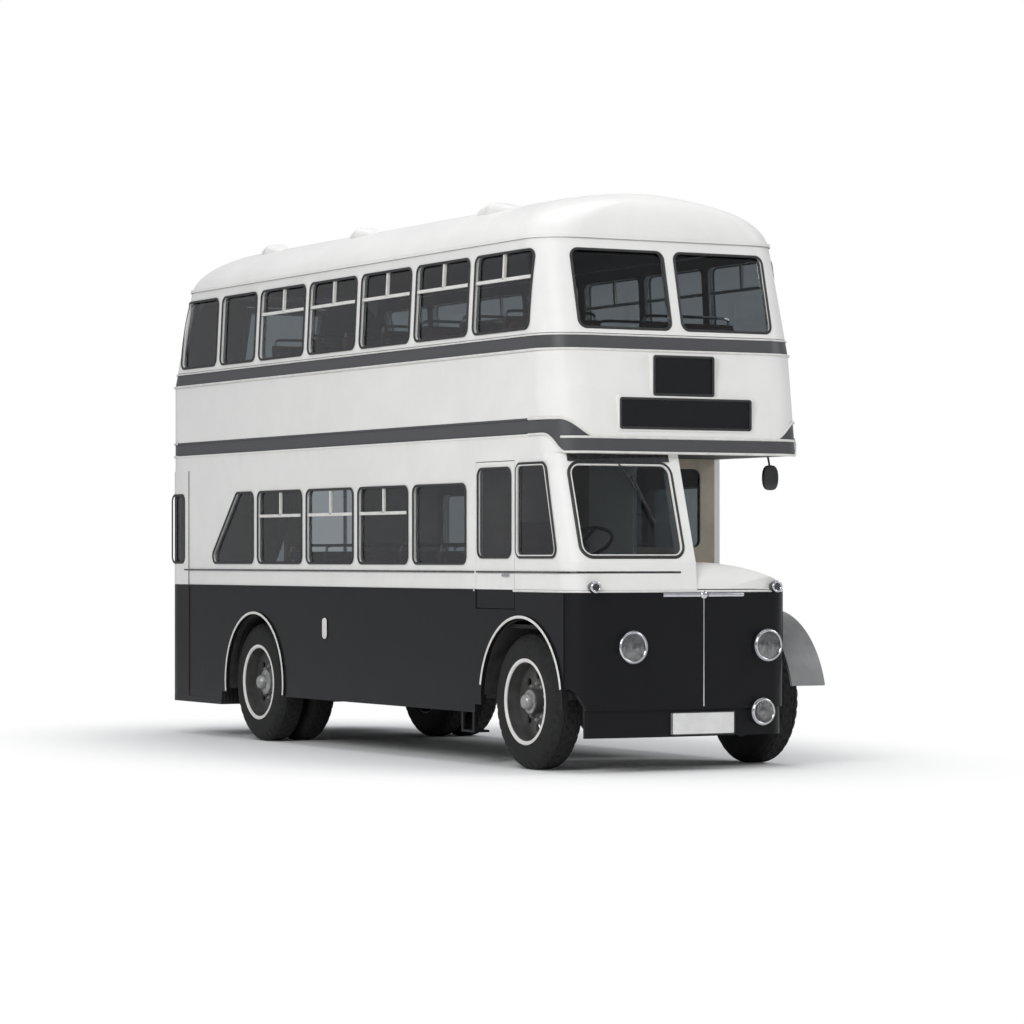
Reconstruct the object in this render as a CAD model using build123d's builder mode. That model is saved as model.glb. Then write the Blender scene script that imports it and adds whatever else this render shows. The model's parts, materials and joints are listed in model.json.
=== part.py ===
"""A half-cab double decker bus of the late 1940s, with an open rear platform and an enclosed full-width nose.

The frame: +X is forward, +Y is the nearside (left), +Z is up. The origin is on the ground, under the middle
of the bus. All lengths are in millimetres. The driver sits on the offside, beside the engine.
"""

from math import hypot
import os

from build123d import *

# Driving dimensions: the whole bus
WIDTH = 2286
ROOF_TOP = 4500
WHEELBASE = 4960
NOSE_OVERHANG = 870
REAR_OVERHANG = 2090
REAR_LAMP_STAND = 30
FRONT_LAMP_STAND = 30
WALL = 50
ROOF_WALL = 40
CUT_OVERRUN = 400
SHUT_GAP = 6
REST_GAP = 0.3

LENGTH = WHEELBASE + NOSE_OVERHANG + REAR_OVERHANG
BEAD_STAND = 8
HALF_WIDTH = WIDTH / 2 - BEAD_STAND
INNER_HALF = HALF_WIDTH - WALL
FRONT_AXLE_X = LENGTH / 2 - NOSE_OVERHANG
REAR_AXLE_X = FRONT_AXLE_X - WHEELBASE
REAR_X = -LENGTH / 2 + REAR_LAMP_STAND

# Levels, from the ground up. Those over the saloon floor are shares of the rise from it to the roof's top
SKIRT_Z = 415
FLOOR_Z = 740
FLOOR_THICK = 40
CAB_FLOOR_THICK = 30
UPPER_FLOOR_THICK = 50
BODY_RISE = ROOF_TOP - FLOOR_Z
LEVEL_SHARES = {
    "bead": 0.1702,
    "nose_top": 0.1729,
    "stair_cut": 0.2021,
    "lower_sill": 0.2261,
    "cab_waist": 0.2287,
    "screen_sill": 0.2394,
    "bulkhead_sill": 0.2606,
    "lower_head": 0.3936,
    "screen_head": 0.4309,
    "door_head": 0.4388,
    "doorway_head": 0.4415,
    "deck_edge": 0.4521,
    "upper_floor": 0.4867,
    "band_low": 0.4894,
    "band_high": 0.5213,
    "wide_foot": 0.5027,
    "wide_head": 0.5625,
    "narrow_foot": 0.5723,
    "narrow_head": 0.6505,
    "upper_waist": 0.6622,
    "emergency_sill": 0.6782,
    "upper_sill": 0.7074,
    "upper_head": 0.8697,
    "gutter": 0.8936,
    "vent_top": 0.9985,
}


def level(name):
    """A named height over the ground."""
    return FLOOR_Z + BODY_RISE * LEVEL_SHARES[name]


BEAD_Z = level("bead")
LOWER_SILL_Z = level("lower_sill")
LOWER_HEAD_Z = level("lower_head")
DECK_EDGE_Z = level("deck_edge")
BAND_LOW_Z = level("band_low")
BAND_HIGH_Z = level("band_high")
UPPER_FLOOR_Z = level("upper_floor")
UPPER_WAIST_Z = level("upper_waist")
UPPER_SILL_Z = level("upper_sill")
UPPER_HEAD_Z = level("upper_head")
GUTTER_Z = level("gutter")
NOSE_TOP_Z = level("nose_top")
CAB_WAIST_Z = level("cab_waist")
SCREEN_SILL_Z = level("screen_sill")
SCREEN_HEAD_Z = level("screen_head")

# The bays: pillars stand at one pitch from the front bulkhead back
BULKHEAD_SETBACK = 760
FIRST_PILLAR = 195
BAYS = 6.04
FULL_BAYS = 5
PILLAR = 100
WINDOW_RADIUS = 60
BULKHEAD_X = FRONT_AXLE_X - BULKHEAD_SETBACK
BAY = (BULKHEAD_X - FIRST_PILLAR / 2 - REAR_X) / BAYS


def pillar_x(number):
    """The middle of a pillar, counted back from the front bulkhead."""
    return BULKHEAD_X - FIRST_PILLAR / 2 - number * BAY


# Upper deck: plan outlines of the raked front and leaning rear
UPPER_CORNER = 320
FRONT_REACH = 600
WAIST_REACH = 490
GUTTER_REACH = 280
REAR_LEAN = 290
TUMBLEHOME = 45
SPLIT_REACH = 130
REAR_SPLIT_REACH = 580
UPPER_REAR_SPLIT_REACH = 330
GUTTER_STAND = 12
GUTTER_DEPTH = 26

# columns: level, front x, rear x, half width
UPPER_SECTIONS = (
    (DECK_EDGE_Z, FRONT_AXLE_X + FRONT_REACH, REAR_X, HALF_WIDTH),
    (UPPER_WAIST_Z, FRONT_AXLE_X + WAIST_REACH, REAR_X, HALF_WIDTH),
    (GUTTER_Z, FRONT_AXLE_X + GUTTER_REACH, REAR_X + REAR_LEAN, HALF_WIDTH - TUMBLEHOME),
)

# Roof dome: shares of its rise, and of its half width drawn in, at each section
# columns: share of the rise, share of the half width drawn in
ROOF_SHARES = (
    (0.0, 0.0),
    (0.3, 0.045),
    (0.58, 0.15),
    (0.8, 0.32),
    (0.93, 0.53),
    (1.0, 0.8),
)
ROOF_FRONT_SHARE = 0.42
ROOF_REAR_SHARE = 0.95
ROOF_CORNER_SHARE = 0.9

# Places across the bus, as shares of its half width
ACROSS_SHARES = {
    "cab_side": -0.053,
    "emergency": 0.37,
    "front_pane": 0.758,
    "rear_panel": 0.264,
    "rear_pane_low": -0.67,
    "rear_pane_high": 0.141,
    "bulkhead_pane_low": 0.088,
    "bulkhead_pane_high": 0.837,
    "screen_low": -0.89,
    "screen_high": -0.132,
    "wide_sign": 0.511,
    "narrow_sign": 0.233,
    "vent": 0.61,
    "turn": -0.106,
    "turn_going": 0.194,
    "landing": -0.493,
    "stair_inner": -0.476,
    "doorway": 0.264,
    "seat_pair": 0.75,
    "driver": -0.529,
    "lamp_offside": 0.564,
    "lamp_nearside": 0.498,
    "fog_lamp": 0.458,
    "bonnet_shoulder": 0.396,
}


def across(name):
    """A named place across the bus."""
    return HALF_WIDTH * ACROSS_SHARES[name]


EMERGENCY_HALF = across("emergency")
GLASS_INSET = 20
GLASS_THICK = 6
# columns: rear window's start and length, strip window's start and length, slant's foot and top
REAR_SHARES = (0.187, 0.378, 0.096, 0.139, 0.507, 0.799)
REAR_WINDOW_X = REAR_X + REAR_OVERHANG * REAR_SHARES[0]
REAR_WINDOW_LENGTH = REAR_OVERHANG * REAR_SHARES[1]
FRONT_WINDOW_POST = 50
FRONT_WINDOW_HALF = across("front_pane")

# Lower deck
PLATFORM_Z = 350
PLATFORM_THICK = 50
PLATFORM_STAND = 760
PLATFORM_LENGTH = REAR_OVERHANG - PLATFORM_STAND
PLATFORM_X = REAR_X + PLATFORM_LENGTH

# The cab, on the offside of the bonnet
CAB_SIDE_Y = across("cab_side")
CAB_WALL = 40
CAB_FOOT_REACH = 810
CAB_TOP_REACH = 520
SCREEN_SHIFT = 20
DOOR_STAND = 65
DOOR_HEAD_Z = level("door_head")
DOOR_LENGTH = 640
DOOR_THICK = 35
DOOR_SETBACK = 15
DOOR_X = BULKHEAD_X + DOOR_SETBACK
# columns: the side window's rear edge, its front edge at the sill and at the head, all from the front axle
QUARTER_REACHES = (-70, 575, 390)

# The nose
NOSE_WALL = 40
NOSE_CORNER = 190
NOSE_BOW = 75
NOSE_MID_Y = -156
NOSE_SPLIT_REACH = 665
NOSE_FOOT_Z = 480
APRON_FOOT_Z = 270
APRON_SET = 20
# The nose's lower edge ahead of the offside wheel
# columns: share of the half width, height
NOSE_EDGE = (
    (-0.97, 640),
    (-0.93, 600),
    (-0.885, 500),
    (-0.88, 0),
)
WING_WIDTH = 305
BONNET_SIDE_Y = HALF_WIDTH - WING_WIDTH
BONNET_TOP_Z = CAB_WAIST_Z
BONNET_SHOULDER_Y = across("bonnet_shoulder")
BONNET_DROP = 50
BONNET_SHOULDER_Z = BONNET_TOP_Z - BONNET_DROP
BONNET_FALL = 260
BONNET_FALL_SHARE = 0.3
BONNET_ROUND = 60
BONNET_SETBACK = 10
BONNET_THICK = 25
NOSE_FRONT_X = LENGTH / 2 - FRONT_LAMP_STAND
WING_THICK = 25
# columns: forward from the front axle, height
WING_POINTS = (
    (-720, 600),
    (20, 1225),
    (800, 640),
)

# Wheels and tyres
TYRE_RADIUS = 525
TYRE_WIDTH = 255
RIM_RADIUS = 315
RIM_STEP = 30
RIM_WIDTH = TYRE_WIDTH - RIM_STEP
RIM_WALL = 14
DISC_THICK = 16
DISC_HOLES = 8
DISC_HOLE_PLACE = 205
DISC_HOLE_RADIUS = 34
WHEEL_INSET = 160
WHEEL_CENTRE_Y = HALF_WIDTH - WHEEL_INSET
TWIN_PITCH = 290
REAR_WHEEL_Y = WHEEL_CENTRE_Y - TWIN_PITCH / 2
HUB_RADIUS = 95
STUB_RADIUS = 40
RUNNING_CLEARANCE = 0.05
HUB_LENGTH = 150
KINGPIN_INSET = 195
KINGPIN_Y = WHEEL_CENTRE_Y - KINGPIN_INSET
KINGPIN_RADIUS = 55
ARCH_GAP = 120
REAR_ARCH_GAP = 85
ARCH_RADIUS = TYRE_RADIUS + ARCH_GAP
REAR_ARCH_RADIUS = TYRE_RADIUS + REAR_ARCH_GAP
ARCH_LIP = 18
DOOR_FOOT_Z = TYRE_RADIUS + ARCH_RADIUS + DOOR_STAND
CAB_FLOOR_STAND = 70
CAB_FLOOR_Z = 2 * TYRE_RADIUS + CAB_FLOOR_STAND

# Chassis
RAIL_Y = 430
RAIL_WIDTH = 75
RAIL_DEPTH = 220
RAIL_TOP_Z = FLOOR_Z - FLOOR_THICK
RAIL_FOOT_Z = RAIL_TOP_Z - RAIL_DEPTH
RAIL_REACH = 640
RAIL_FRONT_X = FRONT_AXLE_X + RAIL_REACH
AXLE_RISE = 135
AXLE_RISE_HALF = 330
CROSS_RADIUS = 35
CROSS_DROP = 60
# Cross-members, as shares of the wheelbase forward from the rear axle
CROSS_SHARES = (0.161, 0.383, 0.706, 1.113)
# columns: where the pads for axle stands are, as a share of the wheelbase, half length, half width, depth
STAND_SHARE = 0.1956
STAND_PAD = (80, 50, 12)
TOW_SETBACK = 120
TOW_LENGTH = 150
TOW_HALF = 60
TOW_FOOT_Z = 545
TOW_PIN_RADIUS = 20
CROSS_Z = RAIL_TOP_Z - CROSS_DROP
SPRING_HALF = 600
SPRING_THICK = 60
SPRING_WIDTH = 70
BEAM_WIDTH = 90
BEAM_DEPTH = 80
AXLE_TUBE_RADIUS = 60
DIFF_RADIUS = 165
FLANGE = 35
SHAFT_RADIUS = 42

EYE_HALF = 55
EAR_GAP = 6
EAR_DEPTH = 45
EAR_RADIUS = 50
PIN_RADIUS = 22
BEAM_FOOT_Z = 300
BEAM_RISE_RUN = 150
NECK_STAND = 20
NECK_Y = KINGPIN_Y - EAR_RADIUS - NECK_STAND
HUB_STAND = 12
SPRING_TIP = 25
# columns: rear, front: the height where each spring pack's top meets its axle
SPRING_SEATS = (TYRE_RADIUS - AXLE_TUBE_RADIUS, BEAM_FOOT_Z + BEAM_DEPTH + SPRING_THICK)
WHEEL_BOX_REACH = 310
WHEEL_BOX_Y = REAR_WHEEL_Y - WHEEL_BOX_REACH
WHEEL_BOX_WALL = 20
# Each block, measured from the bulkhead, the middle of the bus and the ground
# columns: rear, front, offside, nearside, foot, top
ENGINE_BLOCK = (20, 1060, -40, 370, 560, 1280)
GEARBOX_BLOCK = (-560, 20, -170, 170, 440, 660)
TANK_BLOCK = (-3030, -1830, -1048, -467.5, 430, 690)
TANK_ROUND = 60
# The cab step hangs from the side behind the front wheel
# columns: rear and front from the bulkhead, depth inwards, foot
CAB_STEP = (-230, -10, 135, 255)
STEP_THICK = 18
HANGER_WIDTH = 30

# Stairs
STEP_RISERS = 9
STAIR_INNER_Y = -across("stair_inner")
STAIR_GOING = 215
STAIR_FOOT_REACH = 630
STAIR_REAR_X = REAR_X + WALL + REST_GAP
STAIR_FOOT_X = REAR_X + STAIR_FOOT_REACH
TURN_STEPS = 2
FLIGHT_STEPS = STEP_RISERS - TURN_STEPS - 2
TREAD_THICK = 35
STRING_DEPTH = 420
STRING_THICK = 30

# Hinges
BARREL_RADIUS = 8
BARREL_LENGTH = 70
BARREL_GAP = 1
HINGE_GAP = 5
HINGE_PIN_RADIUS = 4
KNUCKLE_LENGTH = 30
DOOR_HINGE_STAND = 180
DOOR_HINGE_FOOT = 72
BONNET_HINGE_STAND = 160
EMERGENCY_HINGE_REACH = 260

# Seats, each one outline of cushion and leaning back
SEAT_WIDTH = across("seat_pair")
# columns: back from the cushion's front edge, up from the floor
SEAT_POINTS = (
    (0, 340),
    (0, 432),
    (380, 410),
    (452, 950),
    (512, 950),
    (440, 340),
)
SEAT_ROUND = 24
SEAT_PITCH = 720
SEAT_LEG = 40
SEAT_LEG_LENGTH = 360
SEAT_STAND = 40
# columns: side, rows, first row's front edge, floor level
SEAT_ROWS = (
    (-1, 5, BULKHEAD_X - 300, FLOOR_Z),
    (1, 5, BULKHEAD_X - 300, FLOOR_Z),
    (-1, 7, FRONT_AXLE_X + 40, UPPER_FLOOR_Z),
    (1, 9, FRONT_AXLE_X + 40, UPPER_FLOOR_Z),
)
# The bench over each pair of rear wheels
BENCH_HALF = 430
BENCH_DEPTH = 440
BENCH_RISE = 90
BENCH_BACK = 380
BENCH_BACK_THICK = 50
DRIVER_Y = across("driver")
# The driver's seat, from the door's rear edge, the driver's middle line and the cab's floor
# columns: rear, front, half width, foot, top
DRIVER_BLOCKS = (
    (60, 480, 220, 240, 330),
    (20, 80, 220, 240, 800),
    (180, 340, 80, 0, 240),
)
# The steering column: its foot and its top, each forward from the front axle and up from the cab's floor
COLUMN_FOOT_REACH = 330
COLUMN_FOOT_RISE = 28
COLUMN_TOP_REACH = -10
COLUMN_TOP_RISE = 620
COLUMN_RADIUS = 28
COLUMN_PLATE_HALF = 60
COLUMN_PLATE_THICK = 40
COLUMN_FOOT = (FRONT_AXLE_X + COLUMN_FOOT_REACH, DRIVER_Y, CAB_FLOOR_Z + COLUMN_FOOT_RISE)
COLUMN_TOP = (FRONT_AXLE_X + COLUMN_TOP_REACH, DRIVER_Y, CAB_FLOOR_Z + COLUMN_TOP_RISE)
STEERING_RADIUS = 250
STEERING_RIM_RADIUS = 14
STEERING_HUB_RADIUS = 45
STEERING_HUB_DEPTH = 40
SPOKE_WIDTH = 30
SPOKE_THICK = 12
YOKE_THICK = 40
TYRE_SHOULDER = 60

# Places that follow from the sizes above
REAR_SPLIT_X = REAR_X + REAR_SPLIT_REACH
UPPER_REAR_SPLIT_X = REAR_X + UPPER_REAR_SPLIT_REACH
FRONT_SPLIT_X = FRONT_AXLE_X + SPLIT_REACH
NOSE_SPLIT_X = FRONT_AXLE_X + NOSE_SPLIT_REACH
STEP_RUN = 260
DOORWAY_HALF = across("doorway")
DOORWAY_HEAD_Z = level("doorway_head")
REAR_PANEL_Y = across("rear_panel")
REAR_PANE_LOW_Y = across("rear_pane_low")
REAR_PANE_HIGH_Y = across("rear_pane_high")
STRIP_WINDOW_X = REAR_X + REAR_OVERHANG * REAR_SHARES[2]
STRIP_WINDOW_LENGTH = REAR_OVERHANG * REAR_SHARES[3]
BULKHEAD_PANE_LOW_Y = across("bulkhead_pane_low")
BULKHEAD_PANE_HIGH_Y = across("bulkhead_pane_high")
BULKHEAD_SILL_Z = level("bulkhead_sill")
TURN_Y = -across("turn")
TURN_GOING = across("turn_going")
LANDING_Y = across("landing")
STAIRWELL_BACK = 200
STAIR_CUT_Z = level("stair_cut")
POLE_RADIUS = 19
POLE_TOP_Z = UPPER_FLOOR_Z - UPPER_FLOOR_THICK
POLE_INSET = 190
POLES = (
    (REAR_X + POLE_INSET, HALF_WIDTH - POLE_INSET),
    (PLATFORM_X - 2 * POLE_INSET, DOORWAY_HALF),
)
RIB = 60
UNDERSIDE_THICK = 25
FRAME = 55
EMERGENCY_SILL_Z = level("emergency_sill")
SIGN_STAND = 10
SIGN_FRAME = 22
SIGN_RECESS = 18
# columns: half width, low, high
SIGN_BOXES = (
    (across("narrow_sign"), level("narrow_foot"), level("narrow_head")),
    (across("wide_sign"), level("wide_foot"), level("wide_head")),
)
# The vents on both flanks of the roof
# columns: share of the bus's length, length
VENTS = (
    (-0.316, 450),
    (-0.082, 480),
    (0.215, 760),
)
# columns: share of a vent's length from its rear end, share of its width, share of its depth
VENT_SHARES = (
    (0, 0.8, 0.72),
    (0.3, 1, 1),
    (1, 0.35, 0.35),
)
VENT_ROUND_SHARE = 0.4
VENT_Y = across("vent")
VENT_TOP_Z = level("vent_top")
VENT_WIDTH = 230
VENT_DEPTH = 150
SCREEN_LOW_Y = across("screen_low")
SCREEN_HIGH_Y = across("screen_high")
SCREEN_RADIUS = 90
SIDE_FOOT_Z = 850
REAR_LAMP_YS = (-700, 200)
REAR_LAMP_Z = 900
REAR_LAMP_RADIUS = 55
# columns: y, z, radius, depth
LAMPS = (
    (-across("lamp_offside"), 958, 125, 120),
    (across("lamp_nearside"), 962, 125, 120),
    (across("fog_lamp"), 450, 105, 120),
)
SLANT_FOOT_X = REAR_X + REAR_OVERHANG * REAR_SHARES[4]
SLANT_TOP_X = REAR_X + REAR_OVERHANG * REAR_SHARES[5]

os.makedirs("parts", exist_ok=True)


def finish(builder, label):
    """Labels a finished piece and writes it as its own STEP file."""
    builder.part.label = label
    export_step(builder.part, f"parts/{label}.step")


def rounded_plan(z, front, rear, half, radius):
    """One rounded plan outline at a level."""
    with BuildSketch(Plane.XY.offset(z)) as plan:
        with Locations(((front + rear) / 2, 0)):
            RectangleRounded(front - rear, 2 * half, radius)
    return plan.sketch


def upper_sections(inset):
    """The upper deck's outlines, drawn in by a wall or glass depth."""
    return [
        rounded_plan(z, front - inset, rear + inset, half - inset, UPPER_CORNER - inset)
        for z, front, rear, half in UPPER_SECTIONS
    ]


def roof_sections(inset):
    """The dome's outlines from the gutter up; the inner skin is drawn in and down by the same amount."""
    _, front, rear, half = UPPER_SECTIONS[-1]
    rise = ROOF_TOP - GUTTER_Z - inset
    plans = []
    for up_share, in_share in ROOF_SHARES:
        drawn = (half - inset) * in_share
        inner_half = half - inset - drawn
        radius = min(UPPER_CORNER - inset + drawn / 2, inner_half * ROOF_CORNER_SHARE)
        height = GUTTER_Z + rise * up_share
        fore = front - inset - drawn * ROOF_FRONT_SHARE
        aft = rear + inset + drawn * ROOF_REAR_SHARE
        plans.append(rounded_plan(height, fore, aft, inner_half, radius))
    return plans


def slab(x0, x1, y0, y1, z0, z1, mode=Mode.ADD):
    """A square block between two corners, in the open part."""
    with Locations(((x0 + x1) / 2, (y0 + y1) / 2, (z0 + z1) / 2)):
        Box(x1 - x0, y1 - y0, z1 - z0, mode=mode)


def bar(start, end, radius, mode=Mode.ADD):
    """A round bar between two points, in the open part."""
    middle = (Vector(*start) + Vector(*end)) / 2
    along = Vector(*end) - Vector(*start)
    with Locations(Plane(origin=middle, z_dir=along).location):
        Cylinder(radius, along.length, mode=mode)


def side_bead(x0, x1, side, z):
    """A raised bead along one side."""
    y0, y1 = sorted((side * (HALF_WIDTH - BEAD_STAND), side * (HALF_WIDTH + BEAD_STAND)))
    slab(x0, x1, y0, y1, z - BEAD_STAND, z + BEAD_STAND)


def arch(x, radius, side, wall, foot):
    """A wheel arch cut through a side, with a raised lip round it down to the side's foot."""
    y0, y1 = sorted((side * (HALF_WIDTH - BEAD_STAND), side * (HALF_WIDTH + BEAD_STAND)))
    with Locations((x, side * HALF_WIDTH, TYRE_RADIUS)):
        Cylinder(radius + ARCH_LIP, 2 * BEAD_STAND, rotation=(90, 0, 0))
    reach = radius + ARCH_LIP
    slab(x - reach, x + reach, y0, y1, TYRE_RADIUS - reach, foot, mode=Mode.SUBTRACT)
    with Locations((x, side * (HALF_WIDTH + (BEAD_STAND - wall) / 2), TYRE_RADIUS)):
        Cylinder(radius, wall + BEAD_STAND, rotation=(90, 0, 0), mode=Mode.SUBTRACT)


def hinge_knuckles(spots):
    """The fixed half of each hinge: room for the barrel, and a pin held in a knuckle at each end of it."""
    for spot in spots:
        with Locations(spot):
            Cylinder(BARREL_RADIUS + HINGE_GAP, BARREL_LENGTH + 2 * BARREL_GAP, mode=Mode.SUBTRACT)
            Cylinder(HINGE_PIN_RADIUS, BARREL_LENGTH + 2 * BARREL_GAP)
        for end in (-1, 1):
            with Locations(spot * Pos(0, 0, end * (BARREL_LENGTH + KNUCKLE_LENGTH + 2 * BARREL_GAP) / 2)):
                Cylinder(BARREL_RADIUS, KNUCKLE_LENGTH)


def hinge_barrels(spots):
    """The moving half of each hinge: a bored barrel, with room for the knuckles past its ends."""
    for spot in spots:
        for end in (-1, 1):
            with Locations(spot * Pos(0, 0, end * (BARREL_LENGTH + KNUCKLE_LENGTH + 2 * BARREL_GAP) / 2)):
                Cylinder(BARREL_RADIUS + HINGE_GAP, KNUCKLE_LENGTH + 2 * BARREL_GAP, mode=Mode.SUBTRACT)
        with Locations(spot):
            Cylinder(BARREL_RADIUS, BARREL_LENGTH)
            Cylinder(HINGE_PIN_RADIUS + RUNNING_CLEARANCE, 2 * BARREL_LENGTH, mode=Mode.SUBTRACT)


def side_window(x0, x1, z0, z1, radius):
    """The outline of a rounded window on a side, seen from the offside."""
    with BuildSketch(Plane.XZ) as outline:
        with Locations(((x0 + x1) / 2, (z0 + z1) / 2)):
            RectangleRounded(x1 - x0, z1 - z0, radius)
    return outline.sketch


def front_window(y0, y1, z0, z1, radius):
    """The outline of a rounded window across the bus, seen from the front."""
    with BuildSketch(Plane.YZ) as outline:
        with Locations(((y0 + y1) / 2, (z0 + z1) / 2)):
            RectangleRounded(y1 - y0, z1 - z0, radius)
    return outline.sketch


def slanted_outline(radius):
    """The window ahead of the stairs, with one side sloping as they do."""
    with BuildSketch(Plane.XZ) as outline:
        with BuildLine():
            Polyline(
                (SLANT_FOOT_X, LOWER_SILL_Z),
                (pillar_x(FULL_BAYS - 1) - PILLAR / 2, LOWER_SILL_Z),
                (pillar_x(FULL_BAYS - 1) - PILLAR / 2, LOWER_HEAD_Z),
                (SLANT_TOP_X, LOWER_HEAD_Z),
                close=True,
            )
        make_face()
        fillet(outline.vertices(), radius)
    return outline.sketch


def quarter_outline(radius):
    """The cab's forward side window, with its front edge sloping back."""
    rear, fore_low, fore_high = QUARTER_REACHES
    with BuildSketch(Plane.XZ) as outline:
        with BuildLine():
            Polyline(
                (FRONT_AXLE_X + rear, SCREEN_SILL_Z),
                (FRONT_AXLE_X + fore_low, SCREEN_SILL_Z),
                (FRONT_AXLE_X + fore_high, SCREEN_HEAD_Z),
                (FRONT_AXLE_X + rear, SCREEN_HEAD_Z),
                close=True,
            )
        make_face()
        fillet(outline.vertices(), radius)
    return outline.sketch


def nose_plan(z, inset, shift):
    """The bowed plan of the nose at a level, drawn in by a wall and moved back."""
    front = NOSE_FRONT_X - inset - shift
    edge = front - NOSE_BOW
    low = -HALF_WIDTH + inset
    high = BONNET_SIDE_Y - inset
    with BuildSketch(Plane.XY.offset(z)) as plan:
        with BuildLine():
            Line((BULKHEAD_X, low), (edge, low))
            ThreePointArc((edge, low), (front, NOSE_MID_Y), (edge, high))
            Line((edge, high), (BULKHEAD_X, high))
            Line((BULKHEAD_X, high), (BULKHEAD_X, low))
        make_face()
        fillet(plan.vertices().group_by(Axis.X)[-1], NOSE_CORNER - inset)
    return plan.sketch


def cab_sections(inset):
    """The cab's outlines: upright to the windscreen's sill, then raked."""
    return [
        nose_plan(NOSE_TOP_Z, inset, 0),
        nose_plan(CAB_WAIST_Z, inset, SCREEN_SHIFT),
        nose_plan(DECK_EDGE_Z, inset, CAB_FOOT_REACH - CAB_TOP_REACH),
    ]


def bonnet_section(inset):
    """The bonnet's section across the bus, low on the nearside."""
    with BuildSketch(Plane.YZ.offset(BULKHEAD_X + SHUT_GAP)) as outline:
        low = CAB_SIDE_Y + SHUT_GAP + inset
        high = BONNET_SIDE_Y - inset
        with BuildLine():
            Line((low, NOSE_TOP_Z + SHUT_GAP), (low, BONNET_TOP_Z - inset))
            ThreePointArc(
                (low, BONNET_TOP_Z - inset),
                (BONNET_SHOULDER_Y, BONNET_SHOULDER_Z - inset),
                (high, NOSE_TOP_Z + SHUT_GAP),
            )
            Line((high, NOSE_TOP_Z + SHUT_GAP), (low, NOSE_TOP_Z + SHUT_GAP))
        make_face()
    return outline.sketch


def bonnet_profile(inset):
    """The bonnet's side profile, falling to the top of the nose."""
    with BuildSketch(Plane.XZ) as outline:
        foot = NOSE_TOP_Z + SHUT_GAP
        top = BONNET_TOP_Z + CUT_OVERRUN
        fore = NOSE_FRONT_X - BONNET_SETBACK - inset
        with BuildLine():
            Line((BULKHEAD_X - inset, foot), (fore, foot))
            ThreePointArc(
                (fore, foot),
                (fore - BONNET_FALL * BONNET_FALL_SHARE, BONNET_TOP_Z - BONNET_ROUND - inset),
                (fore - BONNET_FALL, BONNET_TOP_Z - inset),
            )
            Line((fore - BONNET_FALL, BONNET_TOP_Z - inset), (fore - BONNET_FALL, top))
            Line((fore - BONNET_FALL, top), (BULKHEAD_X - inset, top))
            Line((BULKHEAD_X - inset, top), (BULKHEAD_X - inset, foot))
        make_face()
    return outline.sketch


def wing_point(inset, number):
    """A point on the wing's profile, drawn in towards the axle."""
    forward, z = WING_POINTS[number]
    share = 1 - inset / hypot(forward, z - TYRE_RADIUS)
    return (FRONT_AXLE_X + forward * share, TYRE_RADIUS + (z - TYRE_RADIUS) * share)


def wing_arc(inset):
    """The wing's profile as one arc over the wheel."""
    ThreePointArc(wing_point(inset, 0), wing_point(inset, 1), wing_point(inset, 2))


def rear_face_x(z):
    """Where the leaning upper rear stands at a level over the waist."""
    return REAR_X + REAR_LEAN * (z - UPPER_WAIST_Z) / (GUTTER_Z - UPPER_WAIST_Z)


def front_face_x(z):
    """Where the raked upper front stands at a level under the waist."""
    share = (z - DECK_EDGE_Z) / (UPPER_WAIST_Z - DECK_EDGE_Z)
    return FRONT_AXLE_X + FRONT_REACH - (FRONT_REACH - WAIST_REACH) * share


door_hinges = [
    Location((DOOR_X + SHUT_GAP / 2, -HALF_WIDTH, z))
    for z in (DOOR_FOOT_Z + DOOR_HINGE_FOOT, DOOR_HEAD_Z - DOOR_HINGE_STAND)
]
bonnet_hinges = [
    Location((x, CAB_SIDE_Y + SHUT_GAP / 2, BONNET_TOP_Z), (0, 90, 0))
    for x in (BULKHEAD_X + BONNET_HINGE_STAND, FRONT_AXLE_X + BONNET_HINGE_STAND)
]
EMERGENCY_HINGE_Z = UPPER_HEAD_Z - SHUT_GAP / 2
emergency_hinges = [
    Location((rear_face_x(EMERGENCY_HINGE_Z), y, EMERGENCY_HINGE_Z), (90, 0, 0))
    for y in (-EMERGENCY_HINGE_REACH, EMERGENCY_HINGE_REACH)
]

# Window outlines. Upper sides: one window forward of the bulkhead pillar, four full bays, one short bay
def bay_window(number, sill, head):
    """The outline of the window ahead of a pillar."""
    rear = pillar_x(number) + PILLAR / 2
    return side_window(rear, pillar_x(number - 1) - PILLAR / 2, sill, head, WINDOW_RADIUS)


upper_side_windows = [bay_window(n, UPPER_SILL_Z, UPPER_HEAD_Z) for n in range(FULL_BAYS)]
SHORT_BAY_X = REAR_WINDOW_X + REAR_WINDOW_LENGTH + PILLAR
upper_side_windows += [
    side_window(SHORT_BAY_X, pillar_x(FULL_BAYS - 1) - PILLAR / 2, UPPER_SILL_Z, UPPER_HEAD_Z, WINDOW_RADIUS),
    side_window(REAR_WINDOW_X, REAR_WINDOW_X + REAR_WINDOW_LENGTH, UPPER_SILL_Z, UPPER_HEAD_Z, WINDOW_RADIUS),
]
lower_side_windows = [bay_window(n, LOWER_SILL_Z, LOWER_HEAD_Z) for n in range(1, FULL_BAYS)]
upper_front_windows = [
    front_window(-FRONT_WINDOW_HALF, -FRONT_WINDOW_POST, UPPER_SILL_Z, UPPER_HEAD_Z, WINDOW_RADIUS),
    front_window(FRONT_WINDOW_POST, FRONT_WINDOW_HALF, UPPER_SILL_Z, UPPER_HEAD_Z, WINDOW_RADIUS),
]

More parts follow.
